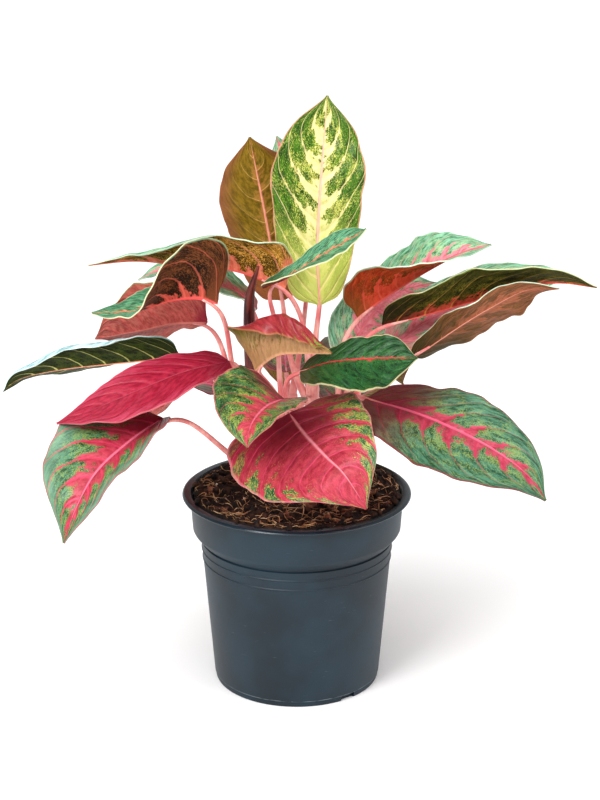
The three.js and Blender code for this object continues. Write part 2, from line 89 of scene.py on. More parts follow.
# Shape of the blades. Stations and places are shares of a blade's length or of a half's width.
BLADE_THICKNESS = 0.9
BLADE_COLUMNS = 24
BLADE_ROWS = 72
COLUMN_CROWDING = 1.25  # above 1, the columns stand closer by the midrib
END_CROWDING = 0.4  # above 0, the rows stand closer at the base and the tip
BLADE_EDGE = 0.8  # least half width, at the base and the tip
OUTLINE_PEAK = 0.4  # station where the outline is broadest
BASE_SLOPE = 9.0
TIP_SLOPE = -1.2
MARGIN_CURL = 8  # degrees by which a half bends up between midrib and margin
FULL_BASE = 0.3  # below this station the widest place has less pull on the outline
ROLL_START = 0.5  # a half that rolls over bends between these places
ROLL_END = 0.8
RIM_START = 0.72  # a rim bends from here to the margin
FULL_ROLL_WIDTH = 20  # narrower than this, a half rolls over less
ROLL_FROM = 0.1  # share of the length where a roll or a rim starts
FULL_ROLL_LENGTH = 0.35  # share of the length over which it grows
UNEVEN_WIDTH = 0.11
RUFFLE = 4.5
RUFFLE_WIDTH = 15  # narrower than this, a half has smaller ruffles
KEEL_DEPTH = 1.3
KEEL_SPREAD = 0.1
VEINS_A_SIDE = 7.5
VEIN_OFFSET = 0.45  # the veins of the right half stand this far from those of the left, in spaces
VEIN_LEAN = 0.08
VEIN_CURVE = 0.25
QUILT_DEPTH = 0.35

# How fine the leaf markings are
STREAKS_ALONG = 32
STREAKS_ACROSS = 7
SPECKS_ALONG = 200
SPECKS_ACROSS = 44
BLUSH_STRENGTH = 0.92
SIDE_SEED_STEP = 3.7
UNDER_SEED_SHIFT = 1.3
EDGE_SEED_STEP = 2.3

# Light
WORLD_LIGHT = 0.74
SUN_LIGHT = 1.6
SUN_ANGLE = 60
SUN_TURN = (28, -14, 0)
SOFTBOXES = {
    "key": {"place": (-0.9, -1.3, 1.2), "size": 0.7, "power": 19},
    "fill": {"place": (1.5, -0.9, 1.1), "size": 1.0, "power": 10},
}
SOFTBOX_TARGET = (0, 0, 0.25)
VIEW_GAMMA = 0.87

# Camera of the photograph
CAMERA_PLACE = (2.4, -1400, 684)
CAMERA_PITCH = 18.4
FOCAL_PIXELS = 2015
IMAGE_HEIGHT = 800
SENSOR_WIDTH = 36

CANES = {
    "cane_middle": {"foot": (12, 34), "top": (12, 16, 246)},
    "cane_left": {"foot": (-29, 22), "top": (-36, -5, 200)},
    "cane_right": {"foot": (34, 20), "top": (33, 2, 198)},
    "cane_front": {"foot": (-3, 12), "top": (-5, -24, 190)},
    "cane_rear": {"foot": (-6, 54), "top": (-4, 54, 205)},
}
NEW_LEAF = [(-32.2, -7.2, 209), (-33, -12, 240), (-34, -17, 280), (-33, -20, 304), (-27, -22, 325)]
NEW_LEAF_RADII = (2.2, 3.2, 4.2, 4.4, 4.4, 4.2, 3.8, 2.4, 0.7)
NEW_LEAF_WINDS = 1.35
NEW_LEAF_SHEET = 0.25
NEW_LEAF_STEPS = 400

# Leaves. petiole: from inside the cane to the blade. rib: midrib from base to tip. looks: bearing and
# tilt of the way the upper side faces, at the base and at the tip. left and right: half width, and fold
# at the base and at the tip, in degrees. widest: where, as a share of the length. wave: height, number
# and phase of the ripples along the margins. lobe: how far the margins reach back at the base. roll: by
# how many degrees each half bends over, below 0 towards its underside. rim: the same for a narrow strip
# at the margin.
LEAVES = {
    "leaf_tall": dict(
        cane="cane_middle", petiole=[(12, 16, 236), (14, 18, 262)],
        rib=[(17, 20, 285), (15, 20, 328), (18, 25, 383), (22, 35, 436)],
        looks=[(-90, 10), (-90, 15)], left=(36, 10, 5), right=(32, 10, 5),
        widest=0.62, wave=(1, 2, 0), lobe=10),
    "leaf_tall_back": dict(
        cane="cane_middle", petiole=[(10, 24, 205), (-4, 22, 240)],
        rib=[(-10, 29, 286), (-17, 40, 316), (-25, 45, 358), (-34, 45, 404)],
        looks=[(80, 10), (80, 10)], left=(32, 10, 5), right=(34, 10, 5),
        widest=0.6, wave=(1, 2, 0.3), lobe=10),
    "leaf_left_high": dict(
        cane="cane_middle", petiole=[(10, 21, 215), (7, 9, 262), (0, 1, 290)],
        rib=[(-8, 0, 304), (-26, -5, 312), (-48, -10, 320), (-82, -20, 326), (-114, -25, 330),
             (-146, -30, 328)],
        rim=(-70, 0),
        looks=[(90, 60), (90, 60)], left=(34, 45, 10), right=(30, 20, 25),
        widest=0.3, wave=(1, 2, 0.6), lobe=12),
    "leaf_left_fold": dict(
        cane="cane_left", petiole=[(-38, 2, 186), (-46, -16, 245), (-50, -36, 288)],
        rib=[(-55, -45, 305), (-70, -50, 310), (-90, -55, 309), (-112, -60, 303), (-141, -65, 303)],
        looks=[(90, 60), (-90, 75)], left=(44, 80, -20), right=(30, 25, 10),
        widest=0.25, wave=(1, 2, 0.1), lobe=15),
    "leaf_left_salmon": dict(
        cane="cane_left", petiole=[(-38, 4, 180), (-47, -4, 230), (-56, -8, 268)],
        rib=[(-64, -10, 281), (-87, -10, 280), (-109, -10, 275), (-131, -10, 271), (-145, -10, 268)],
        looks=[(90, 35), (90, 35)], left=(40, 15, 10), right=(32, 25, 20),
        widest=0.5, wave=(1, 2, 0.4), lobe=10),
    "leaf_left_long": dict(
        cane="cane_left", petiole=[(-37, 8, 174), (-52, -12, 225), (-68, -27, 256)],
        rib=[(-83, -30, 261), (-122, -30, 257), (-166, -30, 252), (-197, -30, 245), (-210, -30, 235)],
        rim=(-150, 0),
        looks=[(90, 45), (90, 45)], left=(26, 25, 0), right=(28, 30, 10),
        widest=0.5, wave=(1.5, 2, 0.7), lobe=12),
    "leaf_left_crimson": dict(
        cane="cane_left", petiole=[(-36, 0, 185), (-38, -16, 228), (-42, -30, 255)],
        rib=[(-48, -42, 261), (-78, -60, 259), (-110, -75, 250), (-141, -85, 239), (-165, -90, 231)],
        looks=[(-90, 70), (-90, 70)], left=(30, 10, 5), right=(21, 10, 5),
        widest=0.5, wave=(1.5, 2, 0.2), lobe=10),
    "leaf_left_low": dict(
        cane="cane_left", petiole=[(-30, 18, 160), (-46, -28, 184), (-60, -46, 204), (-80, -64, 227)],
        rib=[(-93, -70, 228), (-114, -95, 220), (-135, -120, 207), (-148, -135, 187), (-157, -140, 163)],
        looks=[(-110, 60), (-110, 35)], left=(27, 35, 10), right=(44, 5, 5),
        widest=0.4, wave=(1.5, 3, 0), lobe=15),
    "leaf_middle_arched": dict(
        cane="cane_front", petiole=[(-5, -17, 182), (-8, -34, 218), (-17, -43, 241)],
        rib=[(-29, -54, 258), (-14, -64, 272), (2, -74, 277), (24, -88, 281)],
        looks=[(90, 0), (90, 20)], left=(14, 65, 65), right=(46, 30, 5), roll=(0, -175),
        widest=0.5, wave=(0.8, 2, 0.5), lobe=20),
    "leaf_middle_red_rib": dict(
        cane="cane_front", petiole=[(-4, -16, 180), (-6, -31, 222), (-8, -42, 248)],
        rib=[(3, -50, 256), (23, -60, 266), (54, -70, 272), (83, -80, 275)],
        looks=[(-90, 60), (-90, 40)], left=(18, 0, 10), right=(32, 10, 10),
        widest=0.65, wave=(1, 2, 0.8), lobe=2),
    "leaf_right_low": dict(
        cane="cane_right", petiole=[(34, 8, 176), (36, -8, 212), (38, -20, 229)],
        rib=[(50, -32, 230), (80, -60, 230), (106, -85, 227), (132, -105, 219), (155, -120, 206),
             (169, -125, 188)],
        looks=[(-80, 60), (-70, 40)], left=(31, 5, 5), right=(46, 5, 5),
        widest=0.5, wave=(1.5, 3, 0.5), lobe=6),
    "leaf_front": dict(
        cane="cane_front", petiole=[(-4, -11, 174), (-7, -34, 206), (-7, -43, 220)],
        rib=[(-5, -50, 225), (6, -72, 217), (20, -92, 208), (33, -108, 200), (48, -115, 178)],
        looks=[(-95, 40), (-85, 30)], left=(45, 0, 5), right=(58, 0, 5),
        widest=0.35, wave=(1.5, 2, 0.1), lobe=20),
    "leaf_front_small": dict(
        cane="cane_front", petiole=[(-5, -18, 182), (-6, -37, 214), (-7, -53, 234)],
        rib=[(-9, -66, 241), (-20, -88, 243), (-28, -108, 241), (-32, -122, 236), (-33, -130, 228)],
        looks=[(-90, 45), (-90, 45)], left=(30, 40, 20), right=(40, 5, 5),
        widest=0.4, wave=(1, 2, 0.6), lobe=5),
    "leaf_right_orange": dict(
        cane="cane_right", petiole=[(33, 5, 188), (30, 4, 240), (36, 6, 266)],
        rib=[(44, 5, 280), (60, 0, 294), (78, -5, 308), (95, -10, 320), (117, -15, 333),
             (137, -20, 340)],
        looks=[(90, 60), (-90, 50)], left=(31, 55, 20), right=(31, 55, 20),
        widest=0.4, wave=(1, 2, 0.9), lobe=18),
    "leaf_right_long": dict(
        cane="cane_right", petiole=[(34, 5, 188), (39, 0, 240), (50, -2, 267)],
        rib=[(62, -5, 277), (88, -15, 287), (116, -25, 298), (146, -35, 310), (180, -40, 318),
             (209, -45, 316)],
        looks=[(90, 60), (90, 60)], left=(28, 25, 15), right=(27, 30, 15),
        widest=0.52, wave=(1.5, 2, 0.3), lobe=2),
    "leaf_right_salmon": dict(
        cane="cane_right", petiole=[(36, 7, 182), (50, 2, 240), (66, -13, 256)],
        rib=[(83, -22, 258), (102, -28, 274), (119, -34, 288), (135, -40, 300), (159, -48, 315),
             (182, -52, 317)],
        looks=[(90, 45), (90, 45)], left=(25, 0, 0), right=(15, 0, 0),
        widest=0.5, wave=(1.5, 3, 0.2), lobe=8),
    "leaf_right_behind": dict(
        cane="cane_right", petiole=[(35, 7, 186), (46, 7, 228), (58, 5, 248)],
        rib=[(67, 8, 255), (94, 15, 273), (127, 20, 290), (163, 20, 303), (200, 15, 309)],
        looks=[(-90, 60), (-90, 60)], left=(24, 5, 5), right=(32, 5, 5),
        widest=0.45, wave=(1, 2, 0.7), lobe=12),
    "leaf_right_upright": dict(
        cane="cane_right", petiole=[(33, 7, 188), (37, 16, 222)],
        rib=[(41, 20, 241), (45, 32, 256), (58, 44, 273), (78, 50, 287), (104, 52, 293)],
        looks=[(-90, 30), (-90, 30)], left=(25, 5, 5), right=(28, 5, 5),
        widest=0.4, wave=(1, 2, 0.4), lobe=10),
    "leaf_middle_edge": dict(
        cane="cane_front", petiole=[(-5, -18, 182), (-12, -22, 236), (-14, -32, 285)],
        rib=[(-24, -38, 314), (-5, -40, 323), (20, -44, 340), (48, -48, 358)],
        looks=[(-90, 75), (-90, 50)], left=(11, 10, 5), right=(24, 30, 30),
        widest=0.7, wave=(0.8, 2, 0.1), lobe=16),
    "leaf_left_behind": dict(
        cane="cane_left", petiole=[(-33, 6, 180), (-31, 14, 220), (-27, 17, 258)],
        rib=[(-29, 15, 283), (-44, 15, 296), (-70, 15, 308), (-95, 15, 313), (-115, 15, 305)],
        looks=[(-90, 85), (-90, 85)], left=(24, 5, 5), right=(24, 5, 5),
        widest=0.45, wave=(1, 2, 0.5), lobe=8),
    "leaf_rear_upright": dict(
        cane="cane_rear", petiole=[(-4, 55, 200), (4, 60, 250)],
        rib=[(8, 66, 285), (4, 74, 340), (-15, 90, 396)],
        looks=[(-90, 0), (-90, 20)], left=(30, 15, 10), right=(36, 15, 10),
        widest=0.5, wave=(1.2, 2, 0), lobe=14),
    "leaf_rear_right": dict(
        cane="cane_rear", petiole=[(-3, 54, 184), (10, 62, 206)],
        rib=[(26, 74, 216), (56, 118, 219), (86, 156, 180)],
        looks=[(-125, 70), (60, 55)], left=(30, 15, 5), right=(30, 15, 5),
        widest=0.42, wave=(1.5, 3, 0), lobe=14),
    "leaf_rear_middle": dict(
        cane="cane_rear", petiole=[(-5, 55, 192), (-7, 62, 210)],
        rib=[(-8, 74, 216), (-10, 122, 216), (-12, 166, 175)],
        looks=[(-90, 75), (90, 60)], left=(26, 15, 5), right=(24, 15, 5),
        widest=0.42, wave=(1.5, 3, 0.3), lobe=14),
    "leaf_rear_left": dict(
        cane="cane_rear", petiole=[(-6, 54, 176), (-22, 58, 194)],
        rib=[(-36, 64, 200), (-82, 100, 198), (-120, 126, 158)],
        looks=[(-55, 70), (130, 50)], left=(32, 15, 5), right=(32, 15, 5),
        widest=0.42, wave=(1.5, 3, 0.6), lobe=14),
    "leaf_rear_low": dict(
        cane="cane_rear", petiole=[(-3, 50, 172), (8, 66, 186)],
        rib=[(20, 80, 192), (52, 122, 182), (76, 146, 142)],
        looks=[(90, 85), (50, 45)], left=(34, 15, 5), right=(34, 15, 5),
        widest=0.42, wave=(1.5, 2, 0.4), lobe=14),
}

# Half width of a blade along its length, as a share of the widest
OUTLINE = [
    (0, 0.05), (0.04, 0.45), (0.1, 0.68), (0.2, 0.88), (0.32, 0.98), (0.45, 1),
    (0.6, 0.88), (0.74, 0.64), (0.86, 0.34), (0.95, 0.11), (1, 0.02),
]

# Finishes of the two sides of a leaf, in four layers: a ground of dark and light with flecks; a blush from
# the midrib, mixed of deep and blush; a tint near the base, which on dark_red_under is a painted shadow; then
# veins, rib and margin. reach: how far the blush goes at the base, as a share of the half width. taper: how
# much less at the tip. lean: how much more on the right half. fingers: how far it runs out along the veins.
# ragged: how broken its edge is. flecks and sprinkle: specks on the ground and in the blush. dense: how much
# closer the specks stand. skirt: a tint towards the margins, and skirted how strong it is. washed: how far up
# the blade the tint near the base goes. fade: how much the veins fade outwards. vein_edge and edge: where
# veins and margin begin, so that a higher value makes them narrower. rib_width: half width of the rib.
# PLAIN_SIDE holds what many sides share.
PLAIN_SIDE = dict(dense=0.0, taper=0.3, lean=0.0, fingers=0.3, ragged=0.9, sprinkle=0.0,
                  skirt="#806040", skirted=0.0, vein_edge=0.86, rib_width=0.04, edge=0.98, fade=0.35,
                  washed=0.1)
SIDES = {
    "cream_green": dict(dark="#193f08", light="#4a7616", fleck="#cfca6c", deep="#c9c878", blush="#f0e0ae",
                        vein="#f0dca0", rib="#f2b8a4", margin="#e8a08c", reach=0.4, taper=0.5, fingers=0.42,
                        ragged=1.25, flecks=0.9, base_tint_and_shade="#c2cc66", washed=0.26, vein_edge=0.84, fade=0.1),
    "pink_green": dict(dark="#1b4732", light="#54836a", fleck="#98a458", deep="#94203e", blush="#c44a66",
                       vein="#b83452", rib="#dc6682", margin="#8a2438", reach=0.22, taper=0.16, fingers=0.26,
                       flecks=0.7, base_tint_and_shade="#7c1430", washed=0.24, vein_edge=0.89, fade=0.0),
    "rose_green": dict(dark="#163f28", light="#4d8062", fleck="#98a44e", deep="#981a38", blush="#c63e5c",
                       vein="#d04464", rib="#e27890", margin="#b0606a", reach=0.44, taper=0.34, fingers=0.34,
                       ragged=1.1, flecks=0.75, base_tint_and_shade="#8e1834", washed=0.2, vein_edge=0.82, fade=0.1,
                       skirt="#86a892", skirted=0.55),
    "pink_speckled": dict(dark="#12381e", light="#427048", fleck="#a0a850", deep="#a0243c", blush="#cf4a64",
                          vein="#c84e66", rib="#dc7488", margin="#d4707a", reach=0.1, taper=-0.2,
                          fingers=0.24, flecks=1.0, sprinkle=0.4, base_tint_and_shade="#84283a", fade=0.1),
    "red_front": dict(dark="#26523a", light="#547a52", fleck="#aeb058", deep="#9a1c3c", blush="#c43f5c",
                      vein="#da5474", rib="#e8949f", margin="#d08088", reach=0.5, taper=-0.08, lean=0.26,
                      fingers=0.42, ragged=1.35, flecks=0.95, sprinkle=0.65, base_tint_and_shade="#7c1030", washed=0.2,
                      vein_edge=0.88, rib_width=0.022, fade=0.2),
    "dark_glossy": dict(dark="#0a2a12", light="#27592f", fleck="#588c48", deep="#a8322f", blush="#cc4a4c",
                        vein="#37704a", rib="#d8444a", margin="#e2d2a8", reach=0.0, taper=-0.02, fingers=0.05,
                        ragged=0.3, flecks=0.5, base_tint_and_shade="#4a4c26", washed=0.12, vein_edge=0.9, edge=0.97,
                        rib_width=0.03),
    "mint_pink": dict(dark="#37744f", light="#8fc4a4", fleck="#b8cc90", deep="#d2566e", blush="#e8909c",
                      vein="#e8949e", rib="#e07c86", margin="#d8e6d2", reach=0.24, taper=0.05, ragged=1.2,
                      flecks=0.7, base_tint_and_shade="#d07a82"),
    "mint_dark": dict(dark="#184a2c", light="#62a07e", fleck="#98c482", deep="#c8603c", blush="#e08a6c",
                      vein="#d9a98c", rib="#e7a085", margin="#ece0bc", reach=0.04, taper=0.0, fingers=0.12,
                      flecks=0.5, base_tint_and_shade="#2c4c1a", washed=0.2, vein_edge=0.9),
    "crimson_flap": dict(dark="#3c4e16", light="#6a7f30", fleck="#a0a044", deep="#80122c", blush="#a82840",
                         vein="#b44054", rib="#cc5a6c", margin="#a87a50", reach=1.55, taper=0.9, flecks=0.8,
                         ragged=1.1, sprinkle=0.4, base_tint_and_shade="#8a1a34", vein_edge=0.9),
    "pale_blue": dict(dark="#7fa2a6", light="#bcd6d8", fleck="#9ab8a4", deep="#9cb8b8", blush="#c4d8d4",
                      vein="#d8e0d4", rib="#d9a98c", margin="#d6e2dc", reach=0.04, taper=0.0,
                      flecks=0.4, base_tint_and_shade="#7a9a8a", vein_edge=0.92),
    "rose_upper": dict(dark="#98203c", light="#b03a54", fleck="#c87080", deep="#8a1630", blush="#b4304a",
                       vein="#8a1c36", rib="#b8455a", margin="#d07a80", reach=0.9, flecks=0.1,
                       base_tint_and_shade="#7c142e", vein_edge=0.95, rib_width=0.022, skirt="#c8526a",
                       skirted=0.3),
    "olive_under": dict(dark="#63500a", light="#8a6e1c", fleck="#9c7e30", deep="#8c6c26", blush="#a4743a",
                        vein="#e2b874", rib="#eca08a", margin="#9c5c44", reach=0.1, taper=0.0, fingers=0.05,
                        flecks=0.25, skirt="#8a563a", skirted=0.8, base_tint_and_shade="#a8683f", washed=0.22,
                        vein_edge=0.92, rib_width=0.035),
    "orange_spotted": dict(dark="#bd882e", light="#e6b25c", fleck="#4a3c10", deep="#dc6a52", blush="#ec8c74",
                           vein="#f0967c", rib="#ec6a66", margin="#c4dcae", reach=0.1, taper=0.0,
                           fingers=0.26, flecks=0.95, dense=0.09, base_tint_and_shade="#e08468", washed=0.04,
                           vein_edge=0.82, edge=0.97),
    "brown_under": dict(dark="#643c20", light="#88512f", fleck="#24170c", deep="#b0483c", blush="#cf6252",
                        vein="#d6705c", rib="#e8625f", margin="#9cc8a4", reach=0.05, taper=0.0, fingers=0.26,
                        ragged=0.7, flecks=1.0, dense=0.1, base_tint_and_shade="#7a4428", washed=0.08, vein_edge=0.85),
    "salmon_under": dict(dark="#b2504c", light="#d27a70", fleck="#d09858", deep="#bc504c", blush="#de7a70",
                         vein="#b84650", rib="#ee9488", margin="#98945e", reach=0.3, flecks=0.1,
                         base_tint_and_shade="#98203c", vein_edge=0.93, skirt="#96563c", skirted=0.4),
    "dark_olive_under": dict(dark="#161f07", light="#343e12", fleck="#58642a", deep="#33360e",
                             blush="#4c4c18", vein="#dcd688", rib="#eca286", margin="#9fc6c0", reach=0.05,
                             taper=0.05, fingers=0.04, flecks=0.4, base_tint_and_shade="#2a310e",
                             vein_edge=0.88, fade=0.4, edge=0.96),
    "crimson_under": dict(dark="#98243f", light="#b84058", fleck="#c86070", deep="#8e1a36", blush="#ae2e48",
                          vein="#86203a", rib="#d06a7c", margin="#dc9c96", reach=0.6, flecks=0.1,
                          base_tint_and_shade="#902640", vein_edge=0.92),
    "tan_under": dict(dark="#86683a", light="#b4966a", fleck="#6a6a28", deep="#a67e58", blush="#bc946e",
                      vein="#c49a72", rib="#cc9a78", margin="#7c8440", reach=0.4, taper=0.2, fingers=0.1,
                      flecks=0.3, base_tint_and_shade="#a27a52", vein_edge=0.94, skirt="#667420", skirted=0.9),
    "orange_under": dict(dark="#a83c1c", light="#d25a30", fleck="#564812", deep="#d64830", blush="#ea6048",
                         vein="#e27258", rib="#f0706a", margin="#b4d6b2", reach=0.3, taper=0.05, fingers=0.2,
                         ragged=1.0, flecks=1.0, base_tint_and_shade="#84501e", vein_edge=0.88, edge=0.965),
    # The near-black tint at the base of this underside is a painted shadow where the blade meets the plant.
    "dark_red_under": dict(dark="#161c07", light="#403f12", fleck="#7c6e28", deep="#a03828", blush="#d05a48",
                           vein="#cf9c4c", rib="#ec6a60", margin="#86a454", reach=0.24, taper=0.16,
                           fingers=0.14, ragged=1.0, flecks=0.7, base_tint_and_shade="#24210b", washed=0.14, vein_edge=0.89),
    "tan_pink_under": dict(dark="#6c4228", light="#9a6446", fleck="#44420f", deep="#8e5238", blush="#b06e50",
                           vein="#c08060", rib="#dc9480", margin="#b09468", reach=0.3, taper=0.1,
                           flecks=0.6, base_tint_and_shade="#30340e", washed=0.28, vein_edge=0.93),
}

# Upper side, under side and material slot of each leaf
COATS = {
    "leaf_tall": ("cream_green", "olive_under", "leaf_yellow"),
    "leaf_tall_back": ("pink_green", "olive_under", "leaf_olive"),
    "leaf_left_high": ("mint_pink", "orange_spotted", "leaf_olive"),
    "leaf_left_fold": ("mint_dark", "brown_under", "leaf_brown"),
    "leaf_left_salmon": ("mint_pink", "salmon_under", "leaf_salmon"),
    "leaf_left_long": ("pale_blue", "dark_olive_under", "leaf_dark_green"),
    "leaf_left_crimson": ("rose_upper", "crimson_under", "leaf_crimson"),
    "leaf_left_low": ("rose_green", "tan_pink_under", "leaf_green"),
    "leaf_middle_arched": ("crimson_flap", "tan_under", "leaf_crimson"),
    "leaf_middle_red_rib": ("dark_glossy", "olive_under", "leaf_dark_green"),
    "leaf_right_low": ("pink_green", "salmon_under", "leaf_green"),
    "leaf_front": ("red_front", "crimson_under", "leaf_crimson"),
    "leaf_front_small": ("pink_speckled", "olive_under", "leaf_green"),
    "leaf_right_orange": ("mint_pink", "orange_under", "leaf_orange"),
    "leaf_right_long": ("mint_dark", "dark_red_under", "leaf_olive"),
    "leaf_right_salmon": ("mint_pink", "tan_pink_under", "leaf_salmon"),
    "leaf_right_behind": ("mint_pink", "olive_under", "leaf_green"),
    "leaf_right_upright": ("mint_pink", "olive_under", "leaf_green"),
    "leaf_middle_edge": ("mint_dark", "brown_under", "leaf_dark_green"),
    "leaf_left_behind": ("mint_pink", "salmon_under", "leaf_green"),
    "leaf_rear_upright": ("mint_pink", "olive_under", "leaf_green"),
    "leaf_rear_right": ("pink_green", "olive_under", "leaf_green"),
    "leaf_rear_middle": ("pink_speckled", "olive_under", "leaf_green"),
    "leaf_rear_left": ("pink_green", "salmon_under", "leaf_green"),
    "leaf_rear_low": ("pink_speckled", "olive_under", "leaf_green"),
}


def linear(code):
    """Linear colour of a hex code."""
    channels = [int(code[place:place + 2], 16) / 255 for place in (1, 3, 5)]
    return [c / 12.92 if c <= 0.04045 else ((c + 0.055) / 1.055) ** 2.4 for c in channels] + [1.0]


class Level:
    """A value that varies over a surface. Sums and products of levels add Math nodes."""

    def __init__(self, finish, socket):
        self.finish = finish
        self.socket = socket

    def math(self, operation, first, second=0.0):
        return self.finish.node("Math", {"operation": operation}, {0: first, 1: second})

    def __add__(self, other):
        return self.math("ADD", self, other)

    def __radd__(self, other):
        return self.math("ADD", other, self)

    def __sub__(self, other):
        return self.math("SUBTRACT", self, other)

    def __rsub__(self, other):
        return self.math("SUBTRACT", other, self)

    def __mul__(self, other):
        return self.math("MULTIPLY", self, other)

    def __rmul__(self, other):
        return self.math("MULTIPLY", other, self)

    def __abs__(self):
        return self.math("ABSOLUTE", self)

    def fraction(self):
        return self.math("FRACT", self)

    def above(self, limit):
        return self.math("GREATER_THAN", self, limit)

    def ramp(self, low, high):
        """0 up to low, 1 from high on, and a soft step between them; low may be the larger."""
        span = {"Value": self, "From Min": low, "From Max": high}
        return self.finish.node("MapRange", {"interpolation_type": "SMOOTHSTEP"}, span)


class Finish:
    """One material, built from nodes onto its Principled shader."""

    def __init__(self, name):
        self.material = bpy.data.materials.new(name)
        self.material.use_nodes = True
        self.tree = self.material.node_tree
        self.shader = self.tree.nodes["Principled BSDF"]

    def feed(self, socket, value):
        if isinstance(value, Level):
            self.tree.links.new(value.socket, socket)
        else:
            socket.default_value = value

    def node(self, kind, settings, sockets, output=0):
        made = self.tree.nodes.new("ShaderNode" + kind)
        for key, value in settings.items():
            setattr(made, key, value)
        for key, value in sockets.items():
            self.feed(made.inputs[key], value)
        return Level(self, made.outputs[output])

    def blend(self, share, under, over):
        """The colour under, covered by the colour over as far as share says."""
        return self.node("Mix", {"data_type": "RGBA"}, {0: share, 6: under, 7: over}, output=2)

    def place(self, x, y, z):
        return self.node("CombineXYZ", {}, {"X": x, "Y": y, "Z": z})

    def stretched(self, vector, factors):
        return self.node("VectorMath", {"operation": "MULTIPLY"}, {0: vector, 1: factors})

    def grain(self, vector, scale, detail=3.0, roughness=0.55):
        sockets = {"Vector": vector, "Scale": scale, "Detail": detail, "Roughness": roughness}
        return self.node("TexNoise", {}, sockets)

    def part(self, vector, axis):
        return self.node("SeparateXYZ", {}, {"Vector": vector}, output=axis)

    def bump(self, height, strength, distance):
        sockets = {"Height": height, "Strength": strength, "Distance": distance}
        self.set("Normal", self.node("Bump", {}, sockets))

    def set(self, name, value):
        self.feed(self.shader.inputs[name], value)

    def object_place(self):
        return self.node("TexCoord", {}, {}, output="Object")


def leaf_finish(name, look, seed, upper):
    """Variegation of one side of a leaf, drawn on its own map: across the blade and along it. For
    dark_red_under, the tint at the base is a painted shadow.
    """
    look = {**PLAIN_SIDE, **look}
    finish = Finish(name)
    leaf_map = finish.node("UVMap", {"uv_map": "UVMap"}, {})
    side = finish.part(leaf_map, "X")
    along = finish.part(leaf_map, "Y")
    half = side.above(0.5)
    across = abs(side - 0.5) * 2
    soft = finish.grain(finish.place(side * 3, along * 4, seed), 1.0)
    cloud = finish.grain(finish.place(side * 9, along * 11, seed + 4), 1.0, 3.0, 0.6)
    sweep = along - across * VEIN_LEAN - across * across * VEIN_CURVE + (soft - 0.5) * 0.05
    turn = sweep * VEINS_A_SIDE + half * VEIN_OFFSET
    ridge = abs(turn.fraction() - 0.5) * 2
    streak_place = finish.place(sweep * STREAKS_ALONG, across * STREAKS_ACROSS, half * 5 + seed)
    streak = finish.grain(streak_place, 1.0, 5.0, 0.68)
    speck_place = finish.place(sweep * SPECKS_ALONG, across * SPECKS_ACROSS, seed + 9)
    speck = finish.grain(speck_place, 1.0, 2.0, 0.6)
    reach = look["reach"] + half * look["lean"] - along * look["taper"]
    fingers = ridge.ramp(0.35, 1.0) * look["fingers"]
    spread = reach - across + fingers + (streak - 0.5) * look["ragged"]
    spread = spread + (cloud - 0.5) * look["ragged"] * 0.6
    blush = spread.ramp(-0.03, 0.05)
    fringe = spread.ramp(-0.6, -0.02)
    crowd = fringe * 0.55 + cloud.ramp(0.42, 0.62) * 0.5 - ridge.ramp(0.6, 1.0) * 0.2
    fleck = (speck + crowd * 0.17 + look["dense"]).ramp(0.61, 0.66) * look["flecks"]
    paint = finish.blend(streak.ramp(0.36, 0.6), linear(look["dark"]), linear(look["light"]))
    paint = finish.blend(fleck, paint, linear(look["fleck"]))
    paint = finish.blend(across.ramp(0.5, 1.0) * look["skirted"], paint, linear(look["skirt"]))
    shade = finish.blend(streak.ramp(0.3, 0.7), linear(look["deep"]), linear(look["blush"]))
    paint = finish.blend(blush * BLUSH_STRENGTH, paint, shade)
    inside = (speck + (0.5 - abs(spread - 0.12)) * 0.3).ramp(0.76, 0.8) * look["sprinkle"]
    paint = finish.blend(inside, paint, linear(look["fleck"]))
    # Tint near the base of the blade; on dark_red_under it is a painted shadow.
    base_tint_and_shade = (look["washed"] * 2 - along + (soft - 0.5) * 0.3).ramp(0.0, look["washed"] * 1.6)
    paint = finish.blend(base_tint_and_shade * 0.8, paint, linear(look["base_tint_and_shade"]))
    thin = look["vein_edge"] + across * 0.06
    vein = (ridge - thin).ramp(0.0, 0.07) * (1.0 - across * look["fade"]) * along.ramp(0.0, 0.08)
    vein = vein * (0.65 + (streak - 0.5) * 1.2)
    paint = finish.blend(vein * 0.9, paint, linear(look["vein"]))
    rib = (across - look["rib_width"] * (1.0 - along * 0.75)).ramp(0.02, -0.012)
    paint = finish.blend(rib, paint, linear(look["rib"]))
    hem = (across + (cloud - 0.5) * 0.05).ramp(look["edge"] - 0.02, look["edge"] + 0.012)
    paint = finish.blend(hem * 0.65, paint, linear(look["margin"]))
    finish.set("Base Color", paint)
    finish.set("Roughness", 0.33 + (speck - 0.5) * 0.12 if upper else 0.5 + (speck - 0.5) * 0.1)
    finish.set("Specular IOR Level", 0.28 if upper else 0.15)
    lift = 1 if upper else -1
    relief = ridge.ramp(0.55, 1.0) * -0.8 * lift + rib * -0.8 * lift + speck * 0.1 + cloud * 0.7
    finish.bump(relief, 0.6, 0.001)
    return finish.material


def stem_finish():
    finish = Finish("pink_stem")
    place = finish.object_place()
    tone = finish.grain(place, 55.0)
    lines = finish.grain(finish.stretched(place, (1, 1, 0.08)), 900.0)
    paint = finish.blend(tone.ramp(0.35, 0.68), linear("#e07c7c"), linear("#f6bab0"))
    paint = finish.blend(lines.ramp(0.5, 0.7) * 0.35, paint, linear("#c45a60"))
    finish.set("Base Color", paint)
    finish.set("Roughness", 0.36 + (tone - 0.5) * 0.1)
    finish.bump(lines, 0.25, 0.0004)
    return finish.material


